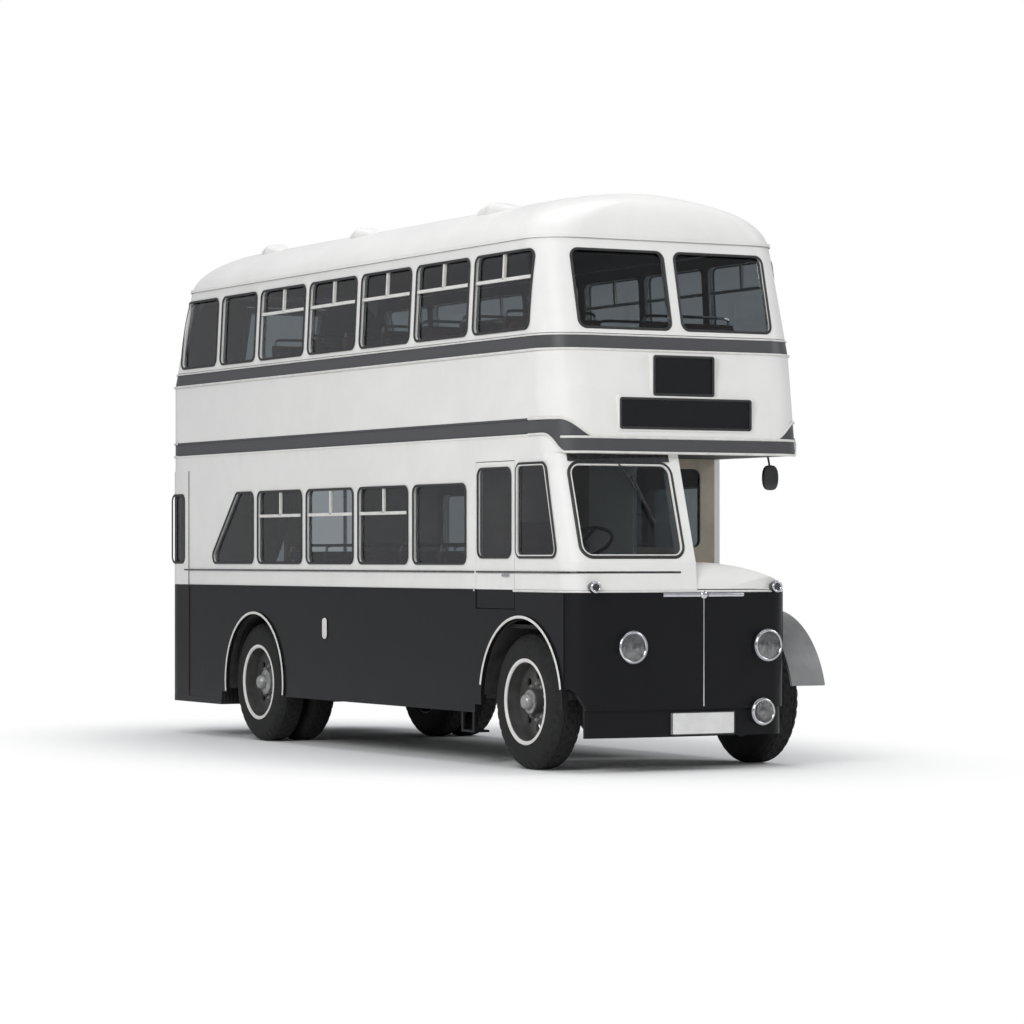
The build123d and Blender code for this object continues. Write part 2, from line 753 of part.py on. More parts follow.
# The chassis rails, with their lower edges rising over the rear axle
with BuildPart() as chassis_frame:
    with BuildSketch(Plane.XZ) as rail_side:
        with BuildLine():
            Polyline(
                (PLATFORM_X, RAIL_TOP_Z),
                (RAIL_FRONT_X, RAIL_TOP_Z),
                (RAIL_FRONT_X, RAIL_FOOT_Z),
                (REAR_AXLE_X + AXLE_RISE_HALF + AXLE_RISE, RAIL_FOOT_Z),
                (REAR_AXLE_X + AXLE_RISE_HALF, RAIL_FOOT_Z + AXLE_RISE),
                (REAR_AXLE_X - AXLE_RISE_HALF, RAIL_FOOT_Z + AXLE_RISE),
                (REAR_AXLE_X - AXLE_RISE_HALF - AXLE_RISE, RAIL_FOOT_Z),
                (PLATFORM_X, RAIL_FOOT_Z),
                close=True,
            )
        make_face()
    with Locations((0, RAIL_Y, 0), (0, -RAIL_Y, 0)):
        add(extrude(rail_side.sketch, amount=RAIL_WIDTH / 2, both=True, mode=Mode.PRIVATE))
    for x in [PLATFORM_X + CROSS_RADIUS] + [REAR_AXLE_X + WHEELBASE * share for share in CROSS_SHARES]:
        bar((x, -RAIL_Y, CROSS_Z), (x, RAIL_Y, CROSS_Z), CROSS_RADIUS)
    pad_length, pad_width, pad_depth = STAND_PAD
    stand_x = REAR_AXLE_X + WHEELBASE * STAND_SHARE
    for y in (-RAIL_Y, RAIL_Y):
        slab(
            stand_x - pad_length, stand_x + pad_length, y - pad_width, y + pad_width,
            RAIL_FOOT_Z - pad_depth, RAIL_FOOT_Z,
        )
    for x in (RAIL_FRONT_X, PLATFORM_X + TOW_SETBACK):
        slab(x - TOW_LENGTH / 2, x + TOW_LENGTH / 2, -TOW_HALF, TOW_HALF, TOW_FOOT_Z, CROSS_Z + CROSS_RADIUS)
        with Locations((x, 0, CROSS_Z)):
            Cylinder(TOW_PIN_RADIUS, RAIL_DEPTH, mode=Mode.SUBTRACT)
finish(chassis_frame, "chassis_frame")

# The front axle: a dropped beam with an upright eye and kingpin at each end
with BuildPart() as front_axle:
    with BuildSketch(Plane.YZ.offset(FRONT_AXLE_X)):
        with BuildLine():
            Polyline(
                (-KINGPIN_Y, TYRE_RADIUS + EYE_HALF),
                (-NECK_Y, TYRE_RADIUS + EYE_HALF),
                (-NECK_Y + BEAM_RISE_RUN, BEAM_FOOT_Z + BEAM_DEPTH),
                (NECK_Y - BEAM_RISE_RUN, BEAM_FOOT_Z + BEAM_DEPTH),
                (NECK_Y, TYRE_RADIUS + EYE_HALF),
                (KINGPIN_Y, TYRE_RADIUS + EYE_HALF),
                (KINGPIN_Y, TYRE_RADIUS - EYE_HALF),
                (NECK_Y, TYRE_RADIUS - EYE_HALF),
                (NECK_Y - BEAM_RISE_RUN, BEAM_FOOT_Z),
                (-NECK_Y + BEAM_RISE_RUN, BEAM_FOOT_Z),
                (-NECK_Y, TYRE_RADIUS - EYE_HALF),
                (-KINGPIN_Y, TYRE_RADIUS - EYE_HALF),
                close=True,
            )
        make_face()
    extrude(amount=BEAM_WIDTH / 2, both=True)
    with Locations((FRONT_AXLE_X, KINGPIN_Y, TYRE_RADIUS), (FRONT_AXLE_X, -KINGPIN_Y, TYRE_RADIUS)):
        Cylinder(KINGPIN_RADIUS, 2 * EYE_HALF)
        Cylinder(PIN_RADIUS, 2 * (EYE_HALF + EAR_GAP + EAR_DEPTH))
finish(front_axle, "front_axle")

# The rear axle: one tube with the drive housing in its middle
with BuildPart() as rear_axle:
    with Locations(Plane.XZ.offset(0).location * Pos(REAR_AXLE_X, TYRE_RADIUS, 0)):
        Cylinder(STUB_RADIUS, 2 * (REAR_WHEEL_Y + TWIN_PITCH / 2))
        Cylinder(AXLE_TUBE_RADIUS, 2 * (REAR_WHEEL_Y - TWIN_PITCH / 2 - HUB_STAND))
    with Locations((REAR_AXLE_X, 0, TYRE_RADIUS)):
        Sphere(DIFF_RADIUS)
    bar((REAR_AXLE_X, 0, TYRE_RADIUS), (REAR_AXLE_X + DIFF_RADIUS + FLANGE, 0, TYRE_RADIUS), AXLE_TUBE_RADIUS)
finish(rear_axle, "rear_axle")

# Leaf springs under the rails: flat bows from eye to eye
with BuildPart() as leaf_springs:
    for x in (FRONT_AXLE_X, REAR_AXLE_X):
        seat = SPRING_SEATS[x == FRONT_AXLE_X]
        for side in (-1, 1):
            with BuildSketch(Plane.XZ.offset(-side * RAIL_Y)):
                with BuildLine():
                    ThreePointArc(
                        (x - SPRING_HALF, RAIL_FOOT_Z), (x, seat), (x + SPRING_HALF, RAIL_FOOT_Z)
                    )
                    Line((x + SPRING_HALF, RAIL_FOOT_Z), (x + SPRING_HALF, RAIL_FOOT_Z - SPRING_TIP))
                    ThreePointArc(
                        (x + SPRING_HALF, RAIL_FOOT_Z - SPRING_TIP),
                        (x, seat - SPRING_THICK),
                        (x - SPRING_HALF, RAIL_FOOT_Z - SPRING_TIP),
                    )
                    Line((x - SPRING_HALF, RAIL_FOOT_Z - SPRING_TIP), (x - SPRING_HALF, RAIL_FOOT_Z))
                make_face()
            extrude(amount=SPRING_WIDTH / 2, both=True)
finish(leaf_springs, "leaf_springs")

# The engine: one plain block. The gearbox and the shaft to the rear axle
rear, fore, offside, nearside, foot, top = ENGINE_BLOCK
with BuildPart() as engine:
    slab(BULKHEAD_X + rear, BULKHEAD_X + fore, offside, nearside, foot, top)
finish(engine, "engine")
rear, fore, offside, nearside, foot, top = GEARBOX_BLOCK
with BuildPart() as gearbox:
    slab(BULKHEAD_X + rear, BULKHEAD_X + fore, offside, nearside, foot, top)
    shaft_end = (REAR_AXLE_X + DIFF_RADIUS + FLANGE, 0, TYRE_RADIUS)
    bar(shaft_end, (BULKHEAD_X + rear, 0, TYRE_RADIUS), SHAFT_RADIUS)
finish(gearbox, "gearbox")
rear, fore, offside, nearside, foot, top = TANK_BLOCK
with BuildPart() as fuel_tank:
    slab(BULKHEAD_X + rear, BULKHEAD_X + fore, offside, nearside, foot, top)
    fillet(fuel_tank.edges().filter_by(Axis.X), TANK_ROUND)
finish(fuel_tank, "fuel_tank")

# The lower saloon's floor, with covers over the rear wheels
with BuildPart() as lower_floor:
    for side in (-1, 1):
        with BuildSketch(Plane.XZ.offset(-side * WHEEL_BOX_Y)):
            with Locations((REAR_AXLE_X, TYRE_RADIUS)):
                Circle(REAR_ARCH_RADIUS)
        extrude(amount=-side * (INNER_HALF - WHEEL_BOX_Y))
    split(bisect_by=Plane.XY.offset(FLOOR_Z - FLOOR_THICK), keep=Keep.TOP)
    slab(PLATFORM_X, BULKHEAD_X, -INNER_HALF, INNER_HALF, FLOOR_Z - FLOOR_THICK, FLOOR_Z)
    for side in (-1, 1):
        with BuildSketch(Plane.XZ.offset(-side * (WHEEL_BOX_Y + WHEEL_BOX_WALL))):
            with Locations((REAR_AXLE_X, TYRE_RADIUS)):
                Circle(REAR_ARCH_RADIUS - WHEEL_BOX_WALL)
        extrude(amount=-side * (INNER_HALF - WHEEL_BOX_Y), mode=Mode.SUBTRACT)
finish(lower_floor, "lower_floor")

# The open platform, its riser to the saloon floor, the step between, and a kerb under the offside panel
with BuildPart() as rear_platform:
    with BuildSketch(Plane.XY.offset(PLATFORM_Z - PLATFORM_THICK)):
        with Locations(((REAR_X + PLATFORM_X + PLATFORM_LENGTH) / 2, 0)):
            RectangleRounded(2 * PLATFORM_LENGTH, WIDTH, UPPER_CORNER)
    extrude(amount=PLATFORM_THICK)
    split(bisect_by=Plane.YZ.offset(PLATFORM_X), keep=Keep.BOTTOM)
    slab(PLATFORM_X - WALL, PLATFORM_X, -INNER_HALF, INNER_HALF, PLATFORM_Z, FLOOR_Z - REST_GAP)
    step_z = (PLATFORM_Z + FLOOR_Z) / 2
    slab(PLATFORM_X - STEP_RUN, PLATFORM_X, -DOORWAY_HALF, DOORWAY_HALF, PLATFORM_Z, step_z)
    slab(REAR_SPLIT_X, PLATFORM_X, -HALF_WIDTH, -INNER_HALF, PLATFORM_Z, SKIRT_Z)
finish(rear_platform, "rear_platform")

# The lower sides, cut for the windows and the rear arches
slanted_window = slanted_outline(WINDOW_RADIUS)
with BuildPart() as lower_side_offside:
    slab(REAR_SPLIT_X, BULKHEAD_X, -HALF_WIDTH, -INNER_HALF, SKIRT_Z, DECK_EDGE_Z)
    for outline in lower_side_windows + [slanted_window]:
        extrude(outline, amount=HALF_WIDTH + CUT_OVERRUN, mode=Mode.SUBTRACT)
    arch(REAR_AXLE_X, REAR_ARCH_RADIUS, -1, WALL, SKIRT_Z)
    side_bead(REAR_SPLIT_X, BULKHEAD_X, -1, BEAD_Z)
    rear, fore, depth, foot = CAB_STEP
    slab(BULKHEAD_X + rear, BULKHEAD_X + fore, -HALF_WIDTH, -HALF_WIDTH + depth, foot, foot + STEP_THICK)
    for x in (BULKHEAD_X + rear, BULKHEAD_X + fore - HANGER_WIDTH):
        slab(x, x + HANGER_WIDTH, -HALF_WIDTH, -HALF_WIDTH + STEP_THICK, foot, SKIRT_Z)
finish(lower_side_offside, "lower_side_offside")

platform_window = side_window(
    PLATFORM_X + PILLAR, pillar_x(FULL_BAYS - 1) - PILLAR / 2, LOWER_SILL_Z, LOWER_HEAD_Z, WINDOW_RADIUS
)
with BuildPart() as lower_side_nearside:
    slab(PLATFORM_X, BULKHEAD_X, INNER_HALF, HALF_WIDTH, SKIRT_Z, DECK_EDGE_Z)
    for outline in lower_side_windows + [platform_window]:
        extrude(outline, amount=-HALF_WIDTH - CUT_OVERRUN, mode=Mode.SUBTRACT)
    arch(REAR_AXLE_X, REAR_ARCH_RADIUS, 1, WALL, SKIRT_Z)
    side_bead(PLATFORM_X, BULKHEAD_X, 1, BEAD_Z)
finish(lower_side_nearside, "lower_side_nearside")

# The rear panel, round the offside rear corner, with its window and the strip window beside the stairs
rear_window = front_window(REAR_PANE_LOW_Y, REAR_PANE_HIGH_Y, LOWER_SILL_Z, LOWER_HEAD_Z, WINDOW_RADIUS)
strip_window = side_window(
    STRIP_WINDOW_X, STRIP_WINDOW_X + STRIP_WINDOW_LENGTH, LOWER_SILL_Z, LOWER_HEAD_Z, WINDOW_RADIUS
)
with BuildPart() as lower_rear:
    with BuildSketch(Plane.XY.offset(PLATFORM_Z)):
        with Locations((REAR_X + PLATFORM_LENGTH, 0)):
            RectangleRounded(2 * PLATFORM_LENGTH, WIDTH, UPPER_CORNER)
            RectangleRounded(
                2 * (PLATFORM_LENGTH - WALL), WIDTH - 2 * WALL, UPPER_CORNER - WALL, mode=Mode.SUBTRACT
            )
    extrude(amount=DECK_EDGE_Z - PLATFORM_Z)
    split(bisect_by=Plane.YZ.offset(REAR_SPLIT_X), keep=Keep.BOTTOM)
    split(bisect_by=Plane.XZ.offset(-REAR_PANEL_Y), keep=Keep.TOP)
    extrude(rear_window, amount=-LENGTH, mode=Mode.SUBTRACT)
    extrude(strip_window, amount=HALF_WIDTH + CUT_OVERRUN, mode=Mode.SUBTRACT)
finish(lower_rear, "lower_rear")

# The bulkheads at both ends of the lower saloon: one with windows, one with the open doorway
bulkhead_window = front_window(
    BULKHEAD_PANE_LOW_Y, BULKHEAD_PANE_HIGH_Y, BULKHEAD_SILL_Z, SCREEN_HEAD_Z, WINDOW_RADIUS
)
with BuildPart() as saloon_bulkheads:
    slab(BULKHEAD_X - WALL, BULKHEAD_X, -INNER_HALF, INNER_HALF, FLOOR_Z, UPPER_FLOOR_Z - UPPER_FLOOR_THICK)
    extrude(bulkhead_window, amount=LENGTH / 2, mode=Mode.SUBTRACT)
    slab(PLATFORM_X, PLATFORM_X + WALL, -INNER_HALF, INNER_HALF, FLOOR_Z, UPPER_FLOOR_Z - UPPER_FLOOR_THICK)
    slab(
        PLATFORM_X, PLATFORM_X + WALL, -DOORWAY_HALF, DOORWAY_HALF, FLOOR_Z, DOORWAY_HEAD_Z,
        mode=Mode.SUBTRACT,
    )
    slab(
        PLATFORM_X, PLATFORM_X + WALL, -INNER_HALF, -STAIR_INNER_Y + STRING_THICK,
        STAIR_CUT_Z, UPPER_FLOOR_Z, mode=Mode.SUBTRACT,
    )
finish(saloon_bulkheads, "saloon_bulkheads")

# The stairs: two turning steps and a landing in the rear corner, then a flight rising forward
RISE = (UPPER_FLOOR_Z - PLATFORM_Z) / STEP_RISERS


def riser_foot(top):
    """Where a riser starts: behind the tread below, but never below the platform."""
    return max(top - RISE - TREAD_THICK, PLATFORM_Z)


with BuildPart() as staircase:
    for step in range(TURN_STEPS):
        top = PLATFORM_Z + RISE * (step + 1)
        y1 = -TURN_Y - TURN_GOING * step
        slab(STAIR_REAR_X, STAIR_FOOT_X, y1 - TURN_GOING, y1, top - TREAD_THICK, top)
        slab(STAIR_REAR_X, STAIR_FOOT_X, y1 - TREAD_THICK, y1, riser_foot(top), top)
    landing = PLATFORM_Z + RISE * (TURN_STEPS + 1)
    with BuildSketch(Plane.XY.offset(landing - TREAD_THICK)) as landing_plan:
        with Locations(((STAIR_REAR_X + STAIR_FOOT_X) / 2, (LANDING_Y - INNER_HALF + REST_GAP) / 2)):
            Rectangle(STAIR_FOOT_X - REAR_X - WALL - REST_GAP, LANDING_Y + INNER_HALF - REST_GAP)
        corner = landing_plan.vertices().group_by(Axis.X)[0].group_by(Axis.Y)[0]
        fillet(corner, UPPER_CORNER - WALL)
    extrude(amount=TREAD_THICK)
    slab(
        STAIR_REAR_X, STAIR_FOOT_X, LANDING_Y - TREAD_THICK, LANDING_Y, riser_foot(landing), landing
    )
    for step in range(FLIGHT_STEPS):
        top = landing + RISE * (step + 1)
        x0 = STAIR_FOOT_X + STAIR_GOING * step
        slab(x0, x0 + STAIR_GOING, -INNER_HALF + REST_GAP, -STAIR_INNER_Y, top - TREAD_THICK, top)
        slab(x0, x0 + TREAD_THICK, -INNER_HALF + REST_GAP, -STAIR_INNER_Y, riser_foot(top), top)
    head_x = STAIR_FOOT_X + STAIR_GOING * FLIGHT_STEPS
    slab(
        head_x - TREAD_THICK, head_x, -INNER_HALF + REST_GAP, -STAIR_INNER_Y,
        UPPER_FLOOR_Z - RISE - TREAD_THICK, UPPER_FLOOR_Z,
    )
    with BuildSketch(Plane.XZ.offset(STAIR_INNER_Y)):
        with BuildLine():
            Polyline(
                (STAIR_FOOT_X, landing + RISE),
                (STAIR_FOOT_X, landing + RISE - STRING_DEPTH),
                (head_x, UPPER_FLOOR_Z - STRING_DEPTH),
                (head_x, UPPER_FLOOR_Z),
                close=True,
            )
        make_face()
    extrude(amount=STRING_THICK)
finish(staircase, "staircase")

# Poles: at the platform's corner, beside the stairs and at the doorway
with BuildPart() as grab_poles:
    for x, y in POLES:
        bar((x, y, PLATFORM_Z), (x, y, POLE_TOP_Z), POLE_RADIUS)
finish(grab_poles, "grab_poles")

# The upper saloon's floor, with the stairwell, and the double underside ahead of the bulkhead
with BuildPart() as upper_floor:
    loft(upper_sections(WALL), ruled=True)
    slab(-LENGTH, LENGTH, -WIDTH, WIDTH, UPPER_FLOOR_Z, ROOF_TOP, mode=Mode.SUBTRACT)
    slab(
        -LENGTH, BULKHEAD_X, -WIDTH, WIDTH, 0, UPPER_FLOOR_Z - UPPER_FLOOR_THICK, mode=Mode.SUBTRACT
    )
    for y0, y1 in ((-INNER_HALF + RIB, -RIB / 2), (RIB / 2, INNER_HALF - RIB)):
        slab(
            BULKHEAD_X + RIB, FRONT_AXLE_X + CAB_TOP_REACH - RIB, y0, y1,
            DECK_EDGE_Z + UNDERSIDE_THICK, UPPER_FLOOR_Z - UPPER_FLOOR_THICK, mode=Mode.SUBTRACT,
        )
    slab(
        STAIR_FOOT_X - STAIRWELL_BACK, STAIR_FOOT_X + STAIR_GOING * FLIGHT_STEPS,
        -WIDTH, -STAIR_INNER_Y, 0, ROOF_TOP, mode=Mode.SUBTRACT,
    )
finish(upper_floor, "upper_floor")

# The upper deck's shell, split where its panels meet
with BuildPart() as upper_shell:
    loft(upper_sections(0), ruled=True)
    loft(upper_sections(WALL), ruled=True, mode=Mode.SUBTRACT)
with BuildPart() as upper_pane:
    loft(upper_sections(GLASS_INSET), ruled=True)
    loft(upper_sections(GLASS_INSET + GLASS_THICK), ruled=True, mode=Mode.SUBTRACT)

for side, name in ((-1, "upper_side_offside"), (1, "upper_side_nearside")):
    with BuildPart() as upper_side:
        add(upper_shell.part)
        split(bisect_by=Plane.YZ.offset(FRONT_SPLIT_X), keep=Keep.BOTTOM)
        split(bisect_by=Plane.YZ.offset(UPPER_REAR_SPLIT_X), keep=Keep.TOP)
        split(bisect_by=Plane.XZ, keep=Keep.TOP if side < 0 else Keep.BOTTOM)
        for outline in upper_side_windows:
            extrude(outline, amount=-side * (HALF_WIDTH + CUT_OVERRUN), mode=Mode.SUBTRACT)
        side_bead(UPPER_REAR_SPLIT_X, FRONT_SPLIT_X, side, BAND_LOW_Z)
        side_bead(UPPER_REAR_SPLIT_X, FRONT_SPLIT_X, side, BAND_HIGH_Z)
    finish(upper_side, name)

with BuildPart() as upper_front:
    add(upper_shell.part)
    split(bisect_by=Plane.YZ.offset(FRONT_SPLIT_X), keep=Keep.TOP)
    for outline in upper_front_windows:
        extrude(outline, amount=LENGTH, mode=Mode.SUBTRACT)
    for half, low, high in SIGN_BOXES:
        face = front_face_x(low) + SIGN_STAND
        slab(
            FRONT_AXLE_X + GUTTER_REACH, face, -half - SIGN_FRAME, half + SIGN_FRAME,
            low - SIGN_FRAME, high + SIGN_FRAME,
        )
    loft(upper_sections(WALL), ruled=True, mode=Mode.SUBTRACT)
    for half, low, high in SIGN_BOXES:
        face = front_face_x(low) + SIGN_STAND
        slab(face - SIGN_RECESS, face, -half, half, low, high, mode=Mode.SUBTRACT)
finish(upper_front, "upper_front")

with BuildPart() as upper_rear:
    add(upper_shell.part)
    split(bisect_by=Plane.YZ.offset(UPPER_REAR_SPLIT_X), keep=Keep.BOTTOM)
    slab(
        -LENGTH, UPPER_REAR_SPLIT_X, -EMERGENCY_HALF, EMERGENCY_HALF,
        EMERGENCY_SILL_Z, UPPER_HEAD_Z, mode=Mode.SUBTRACT,
    )
    hinge_knuckles(emergency_hinges)
finish(upper_rear, "upper_rear")

with BuildPart() as emergency_window:
    add(upper_shell.part)
    slab(
        -LENGTH, UPPER_REAR_SPLIT_X, -EMERGENCY_HALF + SHUT_GAP, EMERGENCY_HALF - SHUT_GAP,
        EMERGENCY_SILL_Z + SHUT_GAP, UPPER_HEAD_Z - SHUT_GAP, mode=Mode.INTERSECT,
    )
    slab(
        -LENGTH, UPPER_REAR_SPLIT_X, -EMERGENCY_HALF + FRAME, EMERGENCY_HALF - FRAME,
        EMERGENCY_SILL_Z + FRAME, UPPER_HEAD_Z - FRAME, mode=Mode.SUBTRACT,
    )
    hinge_barrels(emergency_hinges)
finish(emergency_window, "emergency_window")

# The roof dome, with the gutter round its foot
with BuildPart() as roof:
    loft(roof_sections(0))
    _, fore, aft, half = UPPER_SECTIONS[-1]
    gutter_plan = rounded_plan(
        GUTTER_Z, fore + GUTTER_STAND, aft - GUTTER_STAND, half + GUTTER_STAND, UPPER_CORNER + GUTTER_STAND
    )
    extrude(gutter_plan, amount=GUTTER_DEPTH)
    loft(roof_sections(ROOF_WALL), mode=Mode.SUBTRACT)
finish(roof, "roof")

# Low vents on both flanks of the roof, rounded at the back and tapering forward
with BuildPart() as roof_vents:
    for place, length in VENTS:
        for side in (-1, 1):
            sections = []
            for along, wide, deep in VENT_SHARES:
                width = VENT_WIDTH * wide
                depth = VENT_DEPTH * deep
                middle_z = VENT_TOP_Z - VENT_DEPTH + depth / 2
                with BuildSketch(Plane.YZ.offset(LENGTH * place + length * along)) as vent_section:
                    with Locations((side * VENT_Y, middle_z)):
                        RectangleRounded(width, depth, VENT_ROUND_SHARE * min(width, depth))
                sections.append(vent_section.sketch)
            loft(sections, ruled=True)
    loft(roof_sections(0), mode=Mode.SUBTRACT)
finish(roof_vents, "roof_vents")

# The nose shell, full width, and the cab above it
with BuildPart() as nose_outer:
    extrude(nose_plan(NOSE_FOOT_Z, 0, 0), amount=NOSE_TOP_Z - NOSE_FOOT_Z)
    extrude(nose_plan(APRON_FOOT_Z, APRON_SET, 0), amount=NOSE_TOP_Z - APRON_FOOT_Z)
with BuildPart() as front_panel:
    add(nose_outer.part)
    extrude(nose_plan(APRON_FOOT_Z, NOSE_WALL, 0), amount=NOSE_TOP_Z - APRON_FOOT_Z, mode=Mode.SUBTRACT)
    split(bisect_by=Plane.YZ.offset(NOSE_SPLIT_X), keep=Keep.TOP)
    with BuildSketch(Plane.YZ) as wheel_side:
        with BuildLine():
            edge = [(share * HALF_WIDTH, z) for share, z in NOSE_EDGE]
            Polyline((-WIDTH, 0), (-WIDTH, edge[0][1]), *edge, close=True)
        make_face()
    extrude(wheel_side.sketch, amount=LENGTH, mode=Mode.SUBTRACT)
finish(front_panel, "front_panel")

with BuildPart() as cab_base:
    slab(BULKHEAD_X, NOSE_SPLIT_X, -HALF_WIDTH, -HALF_WIDTH + NOSE_WALL, NOSE_FOOT_Z, NOSE_TOP_Z)
    slab(
        BULKHEAD_X, NOSE_SPLIT_X, -HALF_WIDTH + NOSE_WALL, CAB_SIDE_Y,
        CAB_FLOOR_Z - CAB_FLOOR_THICK, CAB_FLOOR_Z,
    )
    slab(BULKHEAD_X, NOSE_SPLIT_X, CAB_SIDE_Y - CAB_WALL, CAB_SIDE_Y, CAB_FLOOR_Z, NOSE_TOP_Z)
    arch(FRONT_AXLE_X, ARCH_RADIUS, -1, NOSE_WALL, NOSE_FOOT_Z)
    slab(
        DOOR_X, DOOR_X + DOOR_LENGTH, -HALF_WIDTH, -HALF_WIDTH + NOSE_WALL, DOOR_FOOT_Z, NOSE_TOP_Z,
        mode=Mode.SUBTRACT,
    )
    hinge_knuckles(door_hinges[:1])
finish(cab_base, "cab_base")

with BuildPart() as cab_inside:
    loft(cab_sections(CAB_WALL), ruled=True)
    split(bisect_by=Plane.XZ.offset(CAB_WALL - CAB_SIDE_Y), keep=Keep.TOP)
windscreen = front_window(SCREEN_LOW_Y, SCREEN_HIGH_Y, SCREEN_SILL_Z, SCREEN_HEAD_Z, SCREEN_RADIUS)
quarter_window = quarter_outline(WINDOW_RADIUS)
with BuildPart() as cab_shell:
    loft(cab_sections(0), ruled=True)
    split(bisect_by=Plane.XZ.offset(-CAB_SIDE_Y), keep=Keep.TOP)
    add(cab_inside.part, mode=Mode.SUBTRACT)
    slab(
        DOOR_X, DOOR_X + DOOR_LENGTH, -HALF_WIDTH, -HALF_WIDTH + CAB_WALL, NOSE_TOP_Z, DOOR_HEAD_Z,
        mode=Mode.SUBTRACT,
    )
    extrude(quarter_window, amount=HALF_WIDTH + CUT_OVERRUN, mode=Mode.SUBTRACT)
    extrude(windscreen, amount=LENGTH, mode=Mode.SUBTRACT)
    hinge_knuckles(door_hinges[1:])
    hinge_knuckles(bonnet_hinges)
finish(cab_shell, "cab_shell")

door_window = side_window(
    DOOR_X + FRAME, DOOR_X + DOOR_LENGTH - FRAME, SCREEN_SILL_Z, SCREEN_HEAD_Z - FRAME / 2, WINDOW_RADIUS
)
with BuildPart() as cab_door:
    slab(
        DOOR_X + SHUT_GAP, DOOR_X + DOOR_LENGTH - SHUT_GAP, -HALF_WIDTH, -HALF_WIDTH + DOOR_THICK,
        DOOR_FOOT_Z + SHUT_GAP, DOOR_HEAD_Z - SHUT_GAP,
    )
    extrude(door_window, amount=HALF_WIDTH + CUT_OVERRUN, mode=Mode.SUBTRACT)
    hinge_barrels(door_hinges)
finish(cab_door, "cab_door")

# The bonnet lid: a domed top falling to the nose and the nearside
with BuildPart() as bonnet_lid:
    extrude(bonnet_section(0), amount=LENGTH)
    extrude(bonnet_profile(0), amount=HALF_WIDTH, both=True, mode=Mode.INTERSECT)
    extrude(nose_plan(NOSE_TOP_Z - CUT_OVERRUN, 0, 0), amount=2 * CUT_OVERRUN, mode=Mode.INTERSECT)
    with BuildPart(mode=Mode.PRIVATE) as bonnet_inside:
        extrude(bonnet_section(BONNET_THICK), amount=LENGTH)
        extrude(bonnet_profile(BONNET_THICK), amount=HALF_WIDTH, both=True, mode=Mode.INTERSECT)
        extrude(
            nose_plan(NOSE_TOP_Z - CUT_OVERRUN, BONNET_THICK, 0), amount=2 * CUT_OVERRUN, mode=Mode.INTERSECT
        )
    add(bonnet_inside.part, mode=Mode.SUBTRACT)
    hinge_barrels(bonnet_hinges)
finish(bonnet_lid, "bonnet_lid")

with BuildPart() as bonnet_side:
    slab(BULKHEAD_X, NOSE_SPLIT_X, BONNET_SIDE_Y - NOSE_WALL, BONNET_SIDE_Y, SIDE_FOOT_Z, NOSE_TOP_Z)
    with Locations((FRONT_AXLE_X, BONNET_SIDE_Y - NOSE_WALL / 2, TYRE_RADIUS)):
        Cylinder(ARCH_RADIUS, NOSE_WALL, rotation=(90, 0, 0), mode=Mode.SUBTRACT)
finish(bonnet_side, "bonnet_side")

# The nearside wing: one band over the wheel
with BuildPart() as nearside_wing:
    with BuildSketch(Plane.XZ.offset(-BONNET_SIDE_Y)):
        with BuildLine():
            wing_arc(0)
            wing_arc(WING_THICK)
            Line(wing_point(0, 0), wing_point(WING_THICK, 0))
            Line(wing_point(0, 2), wing_point(WING_THICK, 2))
        make_face()
    extrude(amount=-(HALF_WIDTH - BONNET_SIDE_Y))
finish(nearside_wing, "nearside_wing")

# Lamps let into the nose, as one node of separate drums
with BuildPart() as lamps:
    for y, z, radius, depth in LAMPS:
        with Locations((LENGTH / 2 - depth / 2, y, z)):
            Cylinder(radius, depth, rotation=(0, 90, 0))
    add(nose_outer.part, mode=Mode.SUBTRACT)
    for y in REAR_LAMP_YS:
        with Locations((REAR_X - REAR_LAMP_STAND / 2, y, REAR_LAMP_Z)):
            Cylinder(REAR_LAMP_RADIUS, REAR_LAMP_STAND, rotation=(0, 90, 0))
finish(lamps, "lamps")

# Seats: one outline of cushion and back, drawn out to the seat's width, on one leg
with BuildPart() as passenger_seats:
    for side, rows, first_x, floor in SEAT_ROWS:
        for row in range(rows):
            x = first_x - row * SEAT_PITCH
            outer = side * (INNER_HALF - SEAT_STAND)
            with BuildSketch(Plane.XZ.offset(-outer)) as seat_outline:
                with BuildLine():
                    Polyline(*[(x - back, floor + up) for back, up in SEAT_POINTS], close=True)
                make_face()
                fillet(seat_outline.vertices(), SEAT_ROUND)
            extrude(seat_outline.sketch, amount=side * SEAT_WIDTH)
            middle = outer - side * SEAT_WIDTH / 2
            slab(
                x - SEAT_LEG_LENGTH - SEAT_LEG, x - SEAT_LEG, middle - SEAT_LEG / 2, middle + SEAT_LEG / 2,
                floor, floor + SEAT_POINTS[0][1],
            )
    bench_top = TYRE_RADIUS + REAR_ARCH_RADIUS + BENCH_RISE
    for side in (-1, 1):
        outer = side * (INNER_HALF - SEAT_STAND)
        y0, y1 = sorted((outer, outer - side * BENCH_DEPTH))
        slab(REAR_AXLE_X - BENCH_HALF, REAR_AXLE_X + BENCH_HALF, y0, y1, TYRE_RADIUS, bench_top)
        y0, y1 = sorted((outer, outer - side * BENCH_BACK_THICK))
        slab(REAR_AXLE_X - BENCH_HALF, REAR_AXLE_X + BENCH_HALF, y0, y1, TYRE_RADIUS, bench_top + BENCH_BACK)
    with Locations((REAR_AXLE_X, 0, TYRE_RADIUS)):
        Cylinder(REAR_ARCH_RADIUS + REST_GAP, WIDTH, rotation=(90, 0, 0), mode=Mode.SUBTRACT)
finish(passenger_seats, "passenger_seats")

